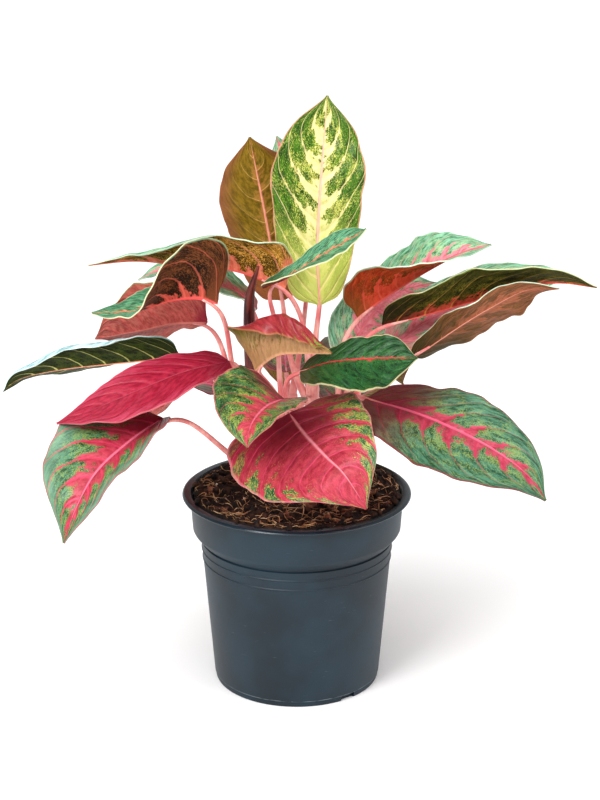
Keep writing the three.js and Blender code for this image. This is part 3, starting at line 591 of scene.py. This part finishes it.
def new_leaf_finish():
    finish = Finish("young_leaf")
    place = finish.object_place()
    lines = finish.grain(finish.stretched(place, (1, 1, 0.12)), 420.0)
    patch = finish.grain(place, 60.0)
    paint = finish.blend(lines.ramp(0.4, 0.65), linear("#341216"), linear("#6d3028"))
    paint = finish.blend(patch.ramp(0.55, 0.75) * 0.6, paint, linear("#8f4a3c"))
    finish.set("Base Color", paint)
    finish.set("Roughness", 0.32 + (patch - 0.5) * 0.1)
    finish.bump(lines, 0.4, 0.0005)
    return finish.material


def pot_finish():
    finish = Finish("pot_plastic")
    place = finish.object_place()
    height = finish.part(place, "Z")
    cloud = finish.grain(place, 16.0)
    fine = finish.grain(place, 900.0, 2.0)
    scuff = finish.grain(finish.stretched(place, (1, 1, 9)), 120.0)
    paint = finish.blend(cloud.ramp(0.35, 0.7), linear("#10212b"), linear("#19313e"))
    paint = finish.blend(scuff.ramp(0.68, 0.78) * 0.28, paint, linear("#77848c"))
    seam = abs(height - 0.0046).ramp(0.0007, 0.0002) * scuff.ramp(0.4, 0.55)
    paint = finish.blend(seam * 0.6, paint, linear("#8a969c"))
    lip = height.ramp(0.1428, 0.1445)
    finish.set("Base Color", paint)
    finish.set("Roughness", 0.46 - lip * 0.2 + (cloud - 0.5) * 0.08)
    finish.bump(fine + scuff * 0.5, 0.22, 0.0003)
    return finish.material


def soil_finish():
    finish = Finish("soil")
    place = finish.object_place()
    crumbs = finish.grain(place, 210.0, 5.0, 0.7)
    patches = finish.grain(place, 60.0, 4.0)
    grit = finish.grain(place, 620.0, 3.0)
    paint = finish.blend(crumbs.ramp(0.4, 0.68), linear("#0c0604"), linear("#3a2315"))
    paint = finish.blend(patches.ramp(0.5, 0.72) * 0.6, paint, linear("#5f3a26"))
    paint = finish.blend(grit.ramp(0.66, 0.74) * 0.7, paint, linear("#93694a"))
    finish.set("Base Color", paint)
    finish.set("Roughness", 0.8 + (crumbs - 0.5) * 0.3)
    finish.bump(crumbs + grit * 0.4, 0.9, 0.0025)
    return finish.material


def litter_finish(name, dark, light):
    """Coir, bark and perlite: two tones over one piece, with a rough skin."""
    finish = Finish(name)
    place = finish.object_place()
    tone = finish.grain(place, 95.0, 3.0)
    skin = finish.grain(place, 1100.0, 3.0)
    finish.set("Base Color", finish.blend(tone.ramp(0.38, 0.64), linear(dark), linear(light)))
    finish.set("Roughness", 0.78 + (skin - 0.5) * 0.3)
    finish.bump(skin, 0.5, 0.0005)
    return finish.material


def floor_finish():
    finish = Finish("pale_floor")
    cloud = finish.grain(finish.object_place(), 2.0)
    finish.set("Base Color", finish.blend(cloud, linear("#f6f6f6"), linear("#fbfbfb")))
    finish.set("Roughness", 0.9)
    return finish.material


# Modelling helpers
def add_object(name, data):
    made = bpy.data.objects.new(name, data)
    bpy.context.collection.objects.link(made)
    return made


def clear_selection():
    if bpy.context.object and bpy.context.object.mode != "OBJECT":
        bpy.ops.object.mode_set(mode="OBJECT")
    bpy.ops.object.select_all(action="DESELECT")


def pick(piece):
    clear_selection()
    piece.select_set(True)
    bpy.context.view_layer.objects.active = piece


def settle(piece):
    """Places the object's position, turn and scale in its mesh."""
    pick(piece)
    bpy.ops.object.transform_apply(location=True, rotation=True, scale=True)


def apply_modifiers(piece):
    pick(piece)
    for modifier in list(piece.modifiers):
        bpy.ops.object.modifier_apply(modifier=modifier.name)


def join(name, pieces):
    clear_selection()
    for piece in pieces:
        piece.select_set(True)
    bpy.context.view_layer.objects.active = pieces[0]
    bpy.ops.object.join()
    pieces[0].name = name
    pieces[0].data.name = name
    return pieces[0]


def edit_whole(piece):
    """Opens the piece for editing, with all of its mesh selected."""
    pick(piece)
    bpy.ops.object.mode_set(mode="EDIT")
    bpy.ops.mesh.select_all(action="SELECT")


def coat(piece, material, angle):
    """One finish all over, shaded smooth where the faces meet at less than the angle."""
    piece.data.materials.clear()
    piece.data.materials.append(material)
    pick(piece)
    bpy.ops.object.shade_smooth_by_angle(angle=math.radians(angle))


def face_outward(piece):
    edit_whole(piece)
    bpy.ops.mesh.remove_doubles(threshold=0.00001)
    bpy.ops.mesh.normals_make_consistent(inside=False)
    bpy.ops.object.mode_set(mode="OBJECT")


def stand_for(piece, node):
    """The piece rides with the plant and takes the place of a CAD node."""
    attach(piece, "root")
    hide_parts(node)


def smooth_point(points, place):
    """A point on the smooth curve through points, where place counts their spans."""
    span = min(int(place), len(points) - 2)
    share = place - span
    first, second = points[span], points[span + 1]
    before = points[span - 1] if span > 0 else first * 2 - second
    after = points[span + 2] if span + 2 < len(points) else second * 2 - first
    pull_in = (second - before) * 0.5
    pull_out = (after - first) * 0.5
    square = share * share
    cube = square * share
    return (first * (2 * cube - 3 * square + 1) + pull_in * (cube - 2 * square + share)
            + second * (3 * square - 2 * cube) + pull_out * (cube - square))


class Path:
    """Smooth curve through points, read by the share of its length."""

    def __init__(self, points):
        corners = [Vector(point) for point in points]
        spans = len(corners) - 1
        steps = 60 * spans
        self.samples = [smooth_point(corners, spans * step / steps) for step in range(steps + 1)]
        self.lengths = [0.0]
        for before, after in zip(self.samples, self.samples[1:]):
            self.lengths.append(self.lengths[-1] + (after - before).length)

    def at(self, share):
        goal = max(0.0, min(1.0, share)) * self.lengths[-1]
        low, high = 0, len(self.lengths) - 1
        while high - low > 1:
            middle = (low + high) // 2
            if self.lengths[middle] <= goal:
                low = middle
            else:
                high = middle
        stretch = self.lengths[high] - self.lengths[low]
        return self.samples[low].lerp(self.samples[high], (goal - self.lengths[low]) / max(stretch, 1e-9))

    def ahead(self, share):
        near = 0.004
        return (self.at(share + near) - self.at(share - near)).normalized()


def make_tubes(name, tubes, sides, material):
    """Closed round tubes in one piece. Each is a list of points and a list of radii, in millimetres."""
    curve = bpy.data.curves.new(name, "CURVE")
    curve.dimensions = "3D"
    curve.bevel_depth = 1.0
    curve.bevel_resolution = max(sides // 4 - 1, 0)
    curve.use_fill_caps = True
    for points, radii in tubes:
        spline = curve.splines.new("POLY")
        spline.points.add(len(points) - 1)
        for knot, point, radius in zip(spline.points, points, radii):
            knot.co = (*(point * MM), 1)
            knot.radius = radius * MM
    pick(add_object(name, curve))
    bpy.ops.object.convert(target="MESH")
    piece = bpy.context.object
    coat(piece, material, 60)
    face_outward(piece)
    return piece


def soften(points, rounds):
    """The same points with the corners of their line rounded off; the ends stay."""
    for _ in range(rounds):
        inner = [before * 0.25 + here * 0.5 + after * 0.25
                 for before, here, after in zip(points, points[1:], points[2:])]
        points = [points[0], *inner, points[-1]]
    return points


def spread_radii(radii, steps):
    """Radii at even steps along a tube, between the given ones."""
    found = []
    for step in range(steps + 1):
        place = step / steps * (len(radii) - 1)
        low = min(int(place), len(radii) - 2)
        found.append(radii[low] + (radii[low + 1] - radii[low]) * (place - low))
    return found


# Pot
def make_pot(material):
    rings = [(BASE_RADIUS + foot + out, height + up)
             for foot, height in RING_FEET for out, up in RING_PROFILE]
    profile = [
        (0, 0), (BASE_RADIUS - 1.0, 0), (BASE_RADIUS - 0.2, 0.3), (BASE_RADIUS + 0.1, 1.0),
        (BASE_RADIUS + 0.3, 4.1), (BASE_RADIUS + 0.75, 4.5), (BASE_RADIUS + 0.95, 5.0), *rings,
        (BODY_TOP_RADIUS, BODY_TOP_HEIGHT - 1.6), (BODY_TOP_RADIUS - 1.1, BODY_TOP_HEIGHT - 0.9),
        (BODY_TOP_RADIUS - 1.1, BODY_TOP_HEIGHT + 0.3), (BODY_TOP_RADIUS + 0.9, BODY_TOP_HEIGHT + 0.9),
        (COLLAR_FOOT_RADIUS - 0.9, COLLAR_FOOT_HEIGHT - 1.2),
        (COLLAR_FOOT_RADIUS - 0.1, COLLAR_FOOT_HEIGHT + 0.4), (COLLAR_TOP_RADIUS - 0.1, POT_HEIGHT - 3.6),
        (COLLAR_TOP_RADIUS + 0.5, POT_HEIGHT - 3.1), (RIM_RADIUS - 1.6, POT_HEIGHT - 2.8),
        (RIM_RADIUS - 0.4, POT_HEIGHT - 2.3), (RIM_RADIUS, POT_HEIGHT - 1.6),
        (RIM_RADIUS - 0.3, POT_HEIGHT - 0.9), (RIM_RADIUS - 1.2, POT_HEIGHT - 0.2),
        (RIM_RADIUS - 2.4, POT_HEIGHT), (COLLAR_TOP_RADIUS - 0.4, POT_HEIGHT - 0.2),
        (COLLAR_TOP_RADIUS - POT_WALL, POT_HEIGHT - 1.4),
        (COLLAR_FOOT_RADIUS - POT_WALL, COLLAR_FOOT_HEIGHT + 1),
        (BODY_TOP_RADIUS - POT_WALL, BODY_TOP_HEIGHT + 1),
        (BASE_RADIUS + 0.9 - POT_WALL, POT_FLOOR), (0, POT_FLOOR),
    ]
    mesh = bpy.data.meshes.new("nursery_pot")
    edges = [(index, index + 1) for index in range(len(profile) - 1)]
    mesh.from_pydata([(radius * MM, 0, height * MM) for radius, height in profile], edges, [])
    pot = add_object("nursery_pot", mesh)
    edit_whole(pot)
    bpy.ops.mesh.spin(steps=POT_STEPS, angle=2 * math.pi, center=(0, 0, 0), axis=(0, 0, 1))
    bpy.ops.object.mode_set(mode="OBJECT")
    face_outward(pot)
    cutters = []
    for index in range(DRAIN_COUNT):
        bearing = (index + 0.5) * 2 * math.pi / DRAIN_COUNT
        place = (DRAIN_CIRCLE * MM * math.cos(bearing), DRAIN_CIRCLE * MM * math.sin(bearing), 0)
        bpy.ops.mesh.primitive_cylinder_add(vertices=32, radius=DRAIN_RADIUS * MM, depth=12 * MM,
                                            location=place)
        cutters.append(bpy.context.object)
    notch_radius = (BASE_RADIUS + 0.4) * MM
    for degrees in NOTCH_BEARINGS:
        bearing = math.radians(degrees)
        place = (notch_radius * math.cos(bearing), notch_radius * math.sin(bearing), 0)
        scale = [length * MM for length in NOTCH_SIZE]
        bpy.ops.mesh.primitive_cube_add(size=1, location=place, rotation=(0, 0, bearing), scale=scale)
        cutters.append(bpy.context.object)
    for cutter in cutters:
        settle(cutter)
        cut = pot.modifiers.new("cut", "BOOLEAN")
        cut.operation = "DIFFERENCE"
        cut.object = cutter
        apply_modifiers(pot)
        bpy.data.objects.remove(cutter)
    coat(pot, material, 32)
    stand_for(pot, "pot")


# Soil and what lies on it
def soil_height(x, y):
    """The plain mound: two heaps, a few lumps and an edge that meets the rim."""
    heaped = 0.0
    for centre_x, centre_y in SOIL_HEAPS:
        away = ((x - centre_x) / HEAP_SPREAD[0]) ** 2 + ((y - centre_y) / HEAP_SPREAD[1]) ** 2
        heaped += HEAP_HEIGHT * math.exp(-away)
    lumps = 1.1 * math.sin(x * 0.21 + 1.3) * math.cos(y * 0.17 - 0.6)
    lumps += 0.7 * math.sin(x * 0.43 - y * 0.37)
    edge = soft_step((math.hypot(x, y) - SOIL_EDGE[0]) / (SOIL_EDGE[1] - SOIL_EDGE[0]))
    return (SOIL_LEVEL + heaped + lumps) * (1 - edge) + (POT_HEIGHT - 0.4) * edge


def crumbled_height(x, y):
    """Soil surface in millimetres, with its lumps and crumbs."""
    crumbs = 0.0
    for height, fine, level in SOIL_CRUMBS:
        crumbs += height * noise.noise(Vector((x * fine, y * fine, level)))
    return soil_height(x, y) + crumbs


def make_soil(material):
    edge_radius = COLLAR_TOP_RADIUS - POT_WALL - SOIL_GAP - 0.3
    clear_selection()
    bpy.ops.mesh.primitive_grid_add(x_subdivisions=SOIL_CELLS, y_subdivisions=SOIL_CELLS, size=2)
    soil = bpy.context.object
    soil.name = "soil_bed"
    for corner in soil.data.vertices:
        x, y = corner.co.x, corner.co.y
        wide = x * math.sqrt(1 - y * y / 2) * edge_radius
        deep = y * math.sqrt(1 - x * x / 2) * edge_radius
        corner.co = (wide * MM, deep * MM, crumbled_height(wide, deep) * MM)
    edit_whole(soil)
    bpy.ops.mesh.region_to_loop()
    walls = [
        (COLLAR_FOOT_RADIUS - POT_WALL - SOIL_GAP, COLLAR_FOOT_HEIGHT + 1),
        (BODY_TOP_RADIUS - POT_WALL - SOIL_GAP, BODY_TOP_HEIGHT + 1),
        (BASE_RADIUS + 0.6 - POT_WALL - SOIL_GAP, POT_FLOOR + 0.35),
    ]
    for radius, height in walls:
        bpy.ops.mesh.extrude_region_move()
        bpy.ops.object.mode_set(mode="OBJECT")
        for corner in soil.data.vertices:
            if corner.select:
                turn = math.atan2(corner.co.y, corner.co.x)
                corner.co = (radius * MM * math.cos(turn), radius * MM * math.sin(turn), height * MM)
        bpy.ops.object.mode_set(mode="EDIT")
    bpy.ops.mesh.edge_face_add()
    bpy.ops.object.mode_set(mode="OBJECT")
    face_outward(soil)
    soil.data.materials.append(material)
    bpy.ops.object.shade_smooth()
    stand_for(soil, "soil")


def open_place(draw, reach):
    """A place on the soil that no cane stands on."""
    while True:
        radius = reach * math.sqrt(draw.random())
        turn = draw.uniform(0, 2 * math.pi)
        x, y = radius * math.cos(turn), radius * math.sin(turn)
        if all(math.dist((x, y), cane["foot"]) > CANE_RADIUS + LITTER_FREE for cane in CANES.values()):
            return x, y


def make_fibres(name, count, reach, thick, seed, material):
    """Coir: thin curved fibres that lie on the soil and rise a little from it."""
    draw = random.Random(seed)
    tubes = []
    for _ in range(count):
        x, y = open_place(draw, reach)
        heading = draw.uniform(0, 2 * math.pi)
        length = draw.uniform(*FIBRE_LENGTH)
        bow = draw.uniform(-FIBRE_BOW, FIBRE_BOW)
        hop = draw.uniform(*FIBRE_HOP)
        points = []
        for step in range(5):
            share = step / 4
            if step:
                x += length / 4 * math.cos(heading)
                y += length / 4 * math.sin(heading)
                heading += bow * draw.uniform(0.2, 1.0)
            away = math.hypot(x, y)
            inside = min(1.0, (COLLAR_TOP_RADIUS - POT_WALL - 2) / max(away, 1.0))
            x, y = x * inside, y * inside
            height = crumbled_height(x, y) + 0.3 + hop * math.sin(math.pi * share)
            points.append(Vector((x, y, height)))
        radius = draw.uniform(0.5, 1.0) * thick
        path = Path(points)
        spine = [path.at(step / 8) for step in range(9)]
        tubes.append((spine, [radius * (1 - 0.6 * abs(step / 4 - 1)) for step in range(9)]))
    fibres = make_tubes(name, tubes, 4, material)
    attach(fibres, "root")


def scatter(name, shapes, count, reach, sizes, flat, sink, seed, material):
    """Copies of a few model shapes lie on the soil at drawn places, sizes and turns."""
    draw = random.Random(seed)
    copies = []
    for index in range(count):
        x, y = open_place(draw, reach)
        size = draw.uniform(*sizes)
        model = shapes[index % len(shapes)]
        piece = model.copy()
        piece.data = model.data.copy()
        bpy.context.collection.objects.link(piece)
        piece.location = (x * MM, y * MM, (crumbled_height(x, y) + size * sink) * MM)
        tip = 0.35 if flat else 3.0
        piece.rotation_euler = (draw.uniform(-tip, tip), draw.uniform(-tip, tip), draw.uniform(0, 6.3))
        piece.scale = [size * MM] * 3
        copies.append(piece)
    for model in shapes:
        bpy.data.objects.remove(model)
    heap = join(name, copies)
    settle(heap)
    face_outward(heap)
    coat(heap, material, 40)
    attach(heap, "root")


def crumb_shapes(draw, count, stretch):
    """Small irregular lumps, one unit in radius."""
    shapes = []
    for _ in range(count):
        clear_selection()
        bpy.ops.mesh.primitive_ico_sphere_add(subdivisions=2, radius=1)
        lump = bpy.context.object
        shift = Vector((draw.uniform(0, 50), draw.uniform(0, 50), draw.uniform(0, 50)))
        for corner in lump.data.vertices:
            swell = 1 + 0.55 * noise.noise(corner.co * 1.6 + shift)
            corner.co = corner.co * swell
            corner.co.z *= stretch
        shapes.append(lump)
    return shapes


def chip_shapes(draw, count):
    """Flakes of bark: flat, long, with broken ends, one unit in half length."""
    noise.seed_set(CHIP_SEED)  # without a seed, noise_vector differs from run to run
    shapes = []
    for _ in range(count):
        clear_selection()
        bpy.ops.mesh.primitive_cube_add(size=2, scale=(1.0, draw.uniform(0.4, 0.6), CHIP_THICKNESS))
        chip = bpy.context.object
        settle(chip)
        edit_whole(chip)
        bpy.ops.mesh.subdivide(number_cuts=2)
        bpy.ops.object.mode_set(mode="OBJECT")
        shift = Vector((draw.uniform(0, 50), draw.uniform(0, 50), draw.uniform(0, 50)))
        for corner in chip.data.vertices:
            push = noise.noise_vector(corner.co * 1.7 + shift)
            corner.co += Vector((push.x * 0.35, push.y * 0.25, push.z * 0.14))
            corner.co.z += CHIP_BEND * corner.co.x ** 2
        shapes.append(chip)
    return shapes


# Leaf blades
def facing(bearing, tilt):
    turn = math.radians(bearing)
    lift = math.radians(tilt)
    return Vector((math.cos(turn) * math.cos(lift), math.sin(turn) * math.cos(lift), math.sin(lift)))


def breadth_at(station):
    """Half width at a station of the outline, on a smooth curve through its points."""
    span = 0
    while span < len(OUTLINE) - 2 and OUTLINE[span + 1][0] < station:
        span += 1
    (start, first), (end, second) = OUTLINE[span], OUTLINE[span + 1]

    def slope(index):
        if index == 0:
            return BASE_SLOPE
        if index == len(OUTLINE) - 1:
            return TIP_SLOPE
        (a, low), (b, high) = OUTLINE[index - 1], OUTLINE[index + 1]
        return (high - low) / (b - a)

    width = end - start
    share = (station - start) / width
    square, cube = share ** 2, share ** 3
    return (first * (2 * cube - 3 * square + 1) + slope(span) * width * (cube - 2 * square + share)
            + second * (3 * square - 2 * cube) + slope(span + 1) * width * (cube - square))


def cross_section(across, fold, roll, rim):
    """How far outward and how far up a half has come, as shares of its width; angles in degrees."""
    steps = 20
    outward = raised = 0.0
    for step in range(steps):
        place = across * (step + 0.5) / steps
        angle = fold + MARGIN_CURL * place
        angle += roll * soft_step((place - ROLL_START) / (ROLL_END - ROLL_START))
        angle += rim * soft_step((place - RIM_START) / (1 - RIM_START))
        outward += math.cos(math.radians(angle)) * across / steps
        raised += math.sin(math.radians(angle)) * across / steps
    return outward, raised


def soft_step(share):
    held = max(0.0, min(1.0, share))
    return held * held * (3 - 2 * held)


def blade_frame(leaf, rib, share):
    """Point, ahead, side and normal of a blade at a share of its midrib."""
    ahead = rib.ahead(share)
    face = facing(*leaf["looks"][0]).lerp(facing(*leaf["looks"][1]), share)
    side = ahead.cross(face).normalized()
    return rib.at(share), ahead, side, side.cross(ahead)


def make_blade(name, leaf, seed, upper_finish, under_finish):
    rib = Path(leaf["rib"])
    shift = math.log(leaf["widest"]) / math.log(OUTLINE_PEAK)
    broadest = max(leaf["left"][0], leaf["right"][0])
    height, count, phase = leaf["wave"]
    rolls = leaf.get("roll", (0, 0))
    rims = leaf.get("rim", (0, 0))
    clear_selection()
    bpy.ops.mesh.primitive_grid_add(x_subdivisions=BLADE_COLUMNS, y_subdivisions=BLADE_ROWS, size=2)
    blade = bpy.context.object
    blade.name = name + "_blade"
    frames = {}
    spots = []
    for corner in blade.data.vertices:
        row = round(corner.co.y, 6)
        if row not in frames:
            even = (row + 1) / 2
            station = (1 - END_CROWDING) * even + END_CROWDING * (0.5 - 0.5 * math.cos(math.pi * even))
            share = station + (station ** shift - station) * min(1, station / FULL_BASE)
            frames[row] = (*blade_frame(leaf, rib, share), share, breadth_at(station))
        point, ahead, side, normal, share, breadth = frames[row]
        column = math.copysign(abs(corner.co.x) ** COLUMN_CROWDING, corner.co.x)
        wide, fold_base, fold_tip = leaf["left"] if column < 0 else leaf["right"]
        across = abs(column)
        fold = fold_base + (fold_tip - fold_base) * share
        reach = max(wide * breadth, BLADE_EDGE)
        part = 0 if column < 0 else 1
        grown = max(0, min(1, (share - ROLL_FROM) / FULL_ROLL_LENGTH, reach / FULL_ROLL_WIDTH))
        outward, raised = cross_section(across, fold, rolls[part] * grown, rims[part] * grown)
        edge = noise.noise(Vector((share * 6.0, part * 9.0, seed))) * 0.7
        edge += noise.noise(Vector((share * 15.0, part * 9.0, seed + 5))) * 0.3
        swell = 1 + UNEVEN_WIDTH * edge * across
        outward, raised = outward * reach * swell, raised * reach * swell
        turn = 2 * math.pi * (count * share + phase + (0.5 if column < 0 else 0))
        ripple = height * across ** 2 * math.sin(turn) * math.sin(math.pi * share)
        ruffle = noise.noise(Vector((share * 5.0, part * 7.0 + 3, seed)))
        ruffle += 0.45 * noise.noise(Vector((share * 13.0, part * 7.0 + 3, seed)))
        ripple += RUFFLE * across ** 2.5 * ruffle * min(1, reach / RUFFLE_WIDTH)
        sweep = share - across * VEIN_LEAN - across ** 2 * VEIN_CURVE
        vein_turn = 2 * math.pi * (sweep * VEINS_A_SIDE + (VEIN_OFFSET if column > 0 else 0))
        quilt = QUILT_DEPTH * math.cos(vein_turn) * math.sin(math.pi * across) * math.sin(math.pi * share)
        back = leaf["lobe"] * (reach * across / broadest) ** 1.5 * (1 - share) ** 3 * min(1, 30 * share)
        corner.co = (point + side * outward * math.copysign(1, column)
                     + normal * (raised + ripple - quilt) - ahead * back) * MM
        spots.append((column, share, normal))
    chart = blade.data.uv_layers.active.data
    for loop in blade.data.loops:
        column, share, _ = spots[loop.vertex_index]
        chart[loop.index].uv = (0.5 + column / 2, share)
    blade.data.materials.append(upper_finish)
    blade.data.materials.append(under_finish)
    shell = blade.modifiers.new("thickness", "SOLIDIFY")
    shell.thickness = BLADE_THICKNESS * MM
    shell.offset = 0
    shell.material_offset = 1
    apply_modifiers(blade)
    corners = blade.data.vertices
    for index, (column, share, normal) in enumerate(spots):
        near = max(0.0, 1 - (abs(column) / KEEL_SPREAD) ** 2)
        top, bottom = corners[index], corners[index + len(spots)]
        if (top.co - bottom.co).dot(normal) < 0:
            top, bottom = bottom, top
        keel = KEEL_DEPTH * (1 - 0.8 * share) * near
        bottom.co -= normal * keel * MM
        top.co -= normal * keel * 0.3 * MM
    pick(blade)
    bpy.ops.object.shade_smooth_by_angle(angle=math.radians(50))
    face_outward(blade)
    return blade


# Canes with their petioles
def make_cane(name, cane, material):
    """The stem with its ring scars, and a sheath and petiole for each of its leaves."""
    x, y = cane["foot"]
    trunk = Path([(x, y, SOIL_LEVEL - CANE_DEPTH), (x, y, SOIL_LEVEL + 4), (x, y, SOIL_LEVEL + 12),
                  cane["top"]])
    ring = [CANE_RADIUS * (0.93 + 0.07 * max(0.0, math.cos(step * 2 * math.pi / CANE_RINGS)) ** 6)
            for step in range(CANE_STEPS + 1)]
    tubes = [([trunk.at(step / CANE_STEPS) for step in range(CANE_STEPS + 1)], ring)]
    for leaf in LEAVES.values():
        if leaf["cane"] != name:
            continue
        rib = Path(leaf["rib"])
        points = [Vector(point) for point in leaf["petiole"]]
        for share in (0.01, 0.06, 0.13):
            point, _, _, normal = blade_frame(leaf, rib, share)
            points.append(point - normal * PETIOLE_SINK)
        path = Path(points)
        spine = [path.at(step / PETIOLE_STEPS) for step in range(PETIOLE_STEPS + 1)]
        tubes.append((soften(spine, PETIOLE_ROUNDING), spread_radii(PETIOLE_RADII, PETIOLE_STEPS)))
    stems = make_tubes(name + "_stems", tubes, 12, material)
    stand_for(stems, name)


def make_new_leaf(material):
    """The rolled young leaf: one sheet wound round itself, closed at the tip."""
    path = Path(NEW_LEAF)
    radii = spread_radii(NEW_LEAF_RADII, NEW_LEAF_STEPS)
    clear_selection()
    bpy.ops.mesh.primitive_grid_add(x_subdivisions=44, y_subdivisions=48, size=2)
    roll = bpy.context.object
    roll.name = "rolled_leaf"
    for corner in roll.data.vertices:
        around = (corner.co.x + 1) / 2
        share = (corner.co.y + 1) / 2
        ahead = path.ahead(share)
        side = ahead.cross(Vector((0, 1, 0))).normalized()
        front = side.cross(ahead)
        radius = radii[round(share * NEW_LEAF_STEPS)]
        turn = 2 * math.pi * NEW_LEAF_WINDS * around + 1.2 + share * 0.9
        wound = radius * (0.8 + 0.2 * around)
        corner.co = (path.at(share) + side * wound * math.cos(turn) + front * wound * math.sin(turn)) * MM
    sheet = roll.modifiers.new("thickness", "SOLIDIFY")
    sheet.thickness = NEW_LEAF_SHEET * MM
    sheet.offset = -1
    apply_modifiers(roll)
    face_outward(roll)
    coat(roll, material, 50)
    stand_for(roll, "new_leaf")


# Making the plant
make_pot(pot_finish())
make_soil(soil_finish())
make_fibres("coir_dark", count=320, reach=76, thick=0.5, seed=11,
            material=litter_finish("coir_dark", "#120a06", "#3f2415"))
make_fibres("coir_tan", count=420, reach=77, thick=0.42, seed=12,
            material=litter_finish("coir_tan", "#a87a4e", "#e8c598"))
shape_draw = random.Random(5)
scatter("soil_crumbs", crumb_shapes(shape_draw, count=4, stretch=0.8), count=420, reach=77,
        sizes=(0.8, 3.0), flat=False, sink=0.3, seed=21,
        material=litter_finish("soil_crumbs", "#120a06", "#4f301d"))
scatter("bark_chips", chip_shapes(shape_draw, count=4), count=60, reach=70,
        sizes=(1.8, 5.5), flat=True, sink=0.15, seed=22,
        material=litter_finish("bark", "#5c3624", "#a87254"))
scatter("perlite", crumb_shapes(shape_draw, count=3, stretch=0.9), count=26, reach=72,
        sizes=(0.5, 1.1), flat=False, sink=0.4, seed=23,
        material=litter_finish("perlite", "#cfc6b4", "#f1ece0"))

stem_material = stem_finish()
for cane_name, cane in CANES.items():
    make_cane(cane_name, cane, stem_material)
make_new_leaf(new_leaf_finish())
for number, (leaf_name, leaf) in enumerate(LEAVES.items()):
    upper_name, under_name, slot_name = COATS[leaf_name]
    seed = number * SIDE_SEED_STEP
    upper_finish = leaf_finish(leaf_name + "_upper", SIDES[upper_name], seed, True)
    under_finish = leaf_finish(leaf_name + "_under", SIDES[under_name], seed + UNDER_SEED_SHIFT, False)
    blade = make_blade(leaf_name, leaf, number * EDGE_SEED_STEP, upper_finish, under_finish)
    stand_for(blade, leaf_name)

# Floor, light and camera
clear_selection()
bpy.ops.mesh.primitive_plane_add(size=20, location=(0, 0, 0))
floor = bpy.context.object
floor.name = "floor"
floor.data.materials.append(floor_finish())

world = bpy.data.worlds.new("studio")
bpy.context.scene.world = world
world.use_nodes = True
world.node_tree.nodes["Background"].inputs["Color"].default_value = (1, 1, 1, 1)
world.node_tree.nodes["Background"].inputs["Strength"].default_value = WORLD_LIGHT
bpy.context.scene.view_settings.view_transform = "Standard"
bpy.context.scene.view_settings.gamma = VIEW_GAMMA

sun = bpy.data.lights.new("window_light", "SUN")
sun.energy = SUN_LIGHT
sun.angle = math.radians(SUN_ANGLE)
window_light = add_object("window_light", sun)
window_light.rotation_euler = [math.radians(degrees) for degrees in SUN_TURN]
for softbox_name, softbox in SOFTBOXES.items():
    lamp = bpy.data.lights.new(softbox_name, "AREA")
    lamp.size = softbox["size"]
    lamp.energy = softbox["power"]
    box = add_object(softbox_name, lamp)
    box.location = softbox["place"]
    aim = Vector(SOFTBOX_TARGET) - Vector(softbox["place"])
    box.rotation_euler = aim.to_track_quat("-Z", "Y").to_euler()

camera = add_object("camera", bpy.data.cameras.new("camera"))
camera.location = Vector(CAMERA_PLACE) * MM
camera.rotation_euler = (math.radians(90 - CAMERA_PITCH), 0, 0)
camera.data.sensor_width = SENSOR_WIDTH
camera.data.lens = FOCAL_PIXELS * SENSOR_WIDTH / IMAGE_HEIGHT
bpy.context.scene.camera = camera
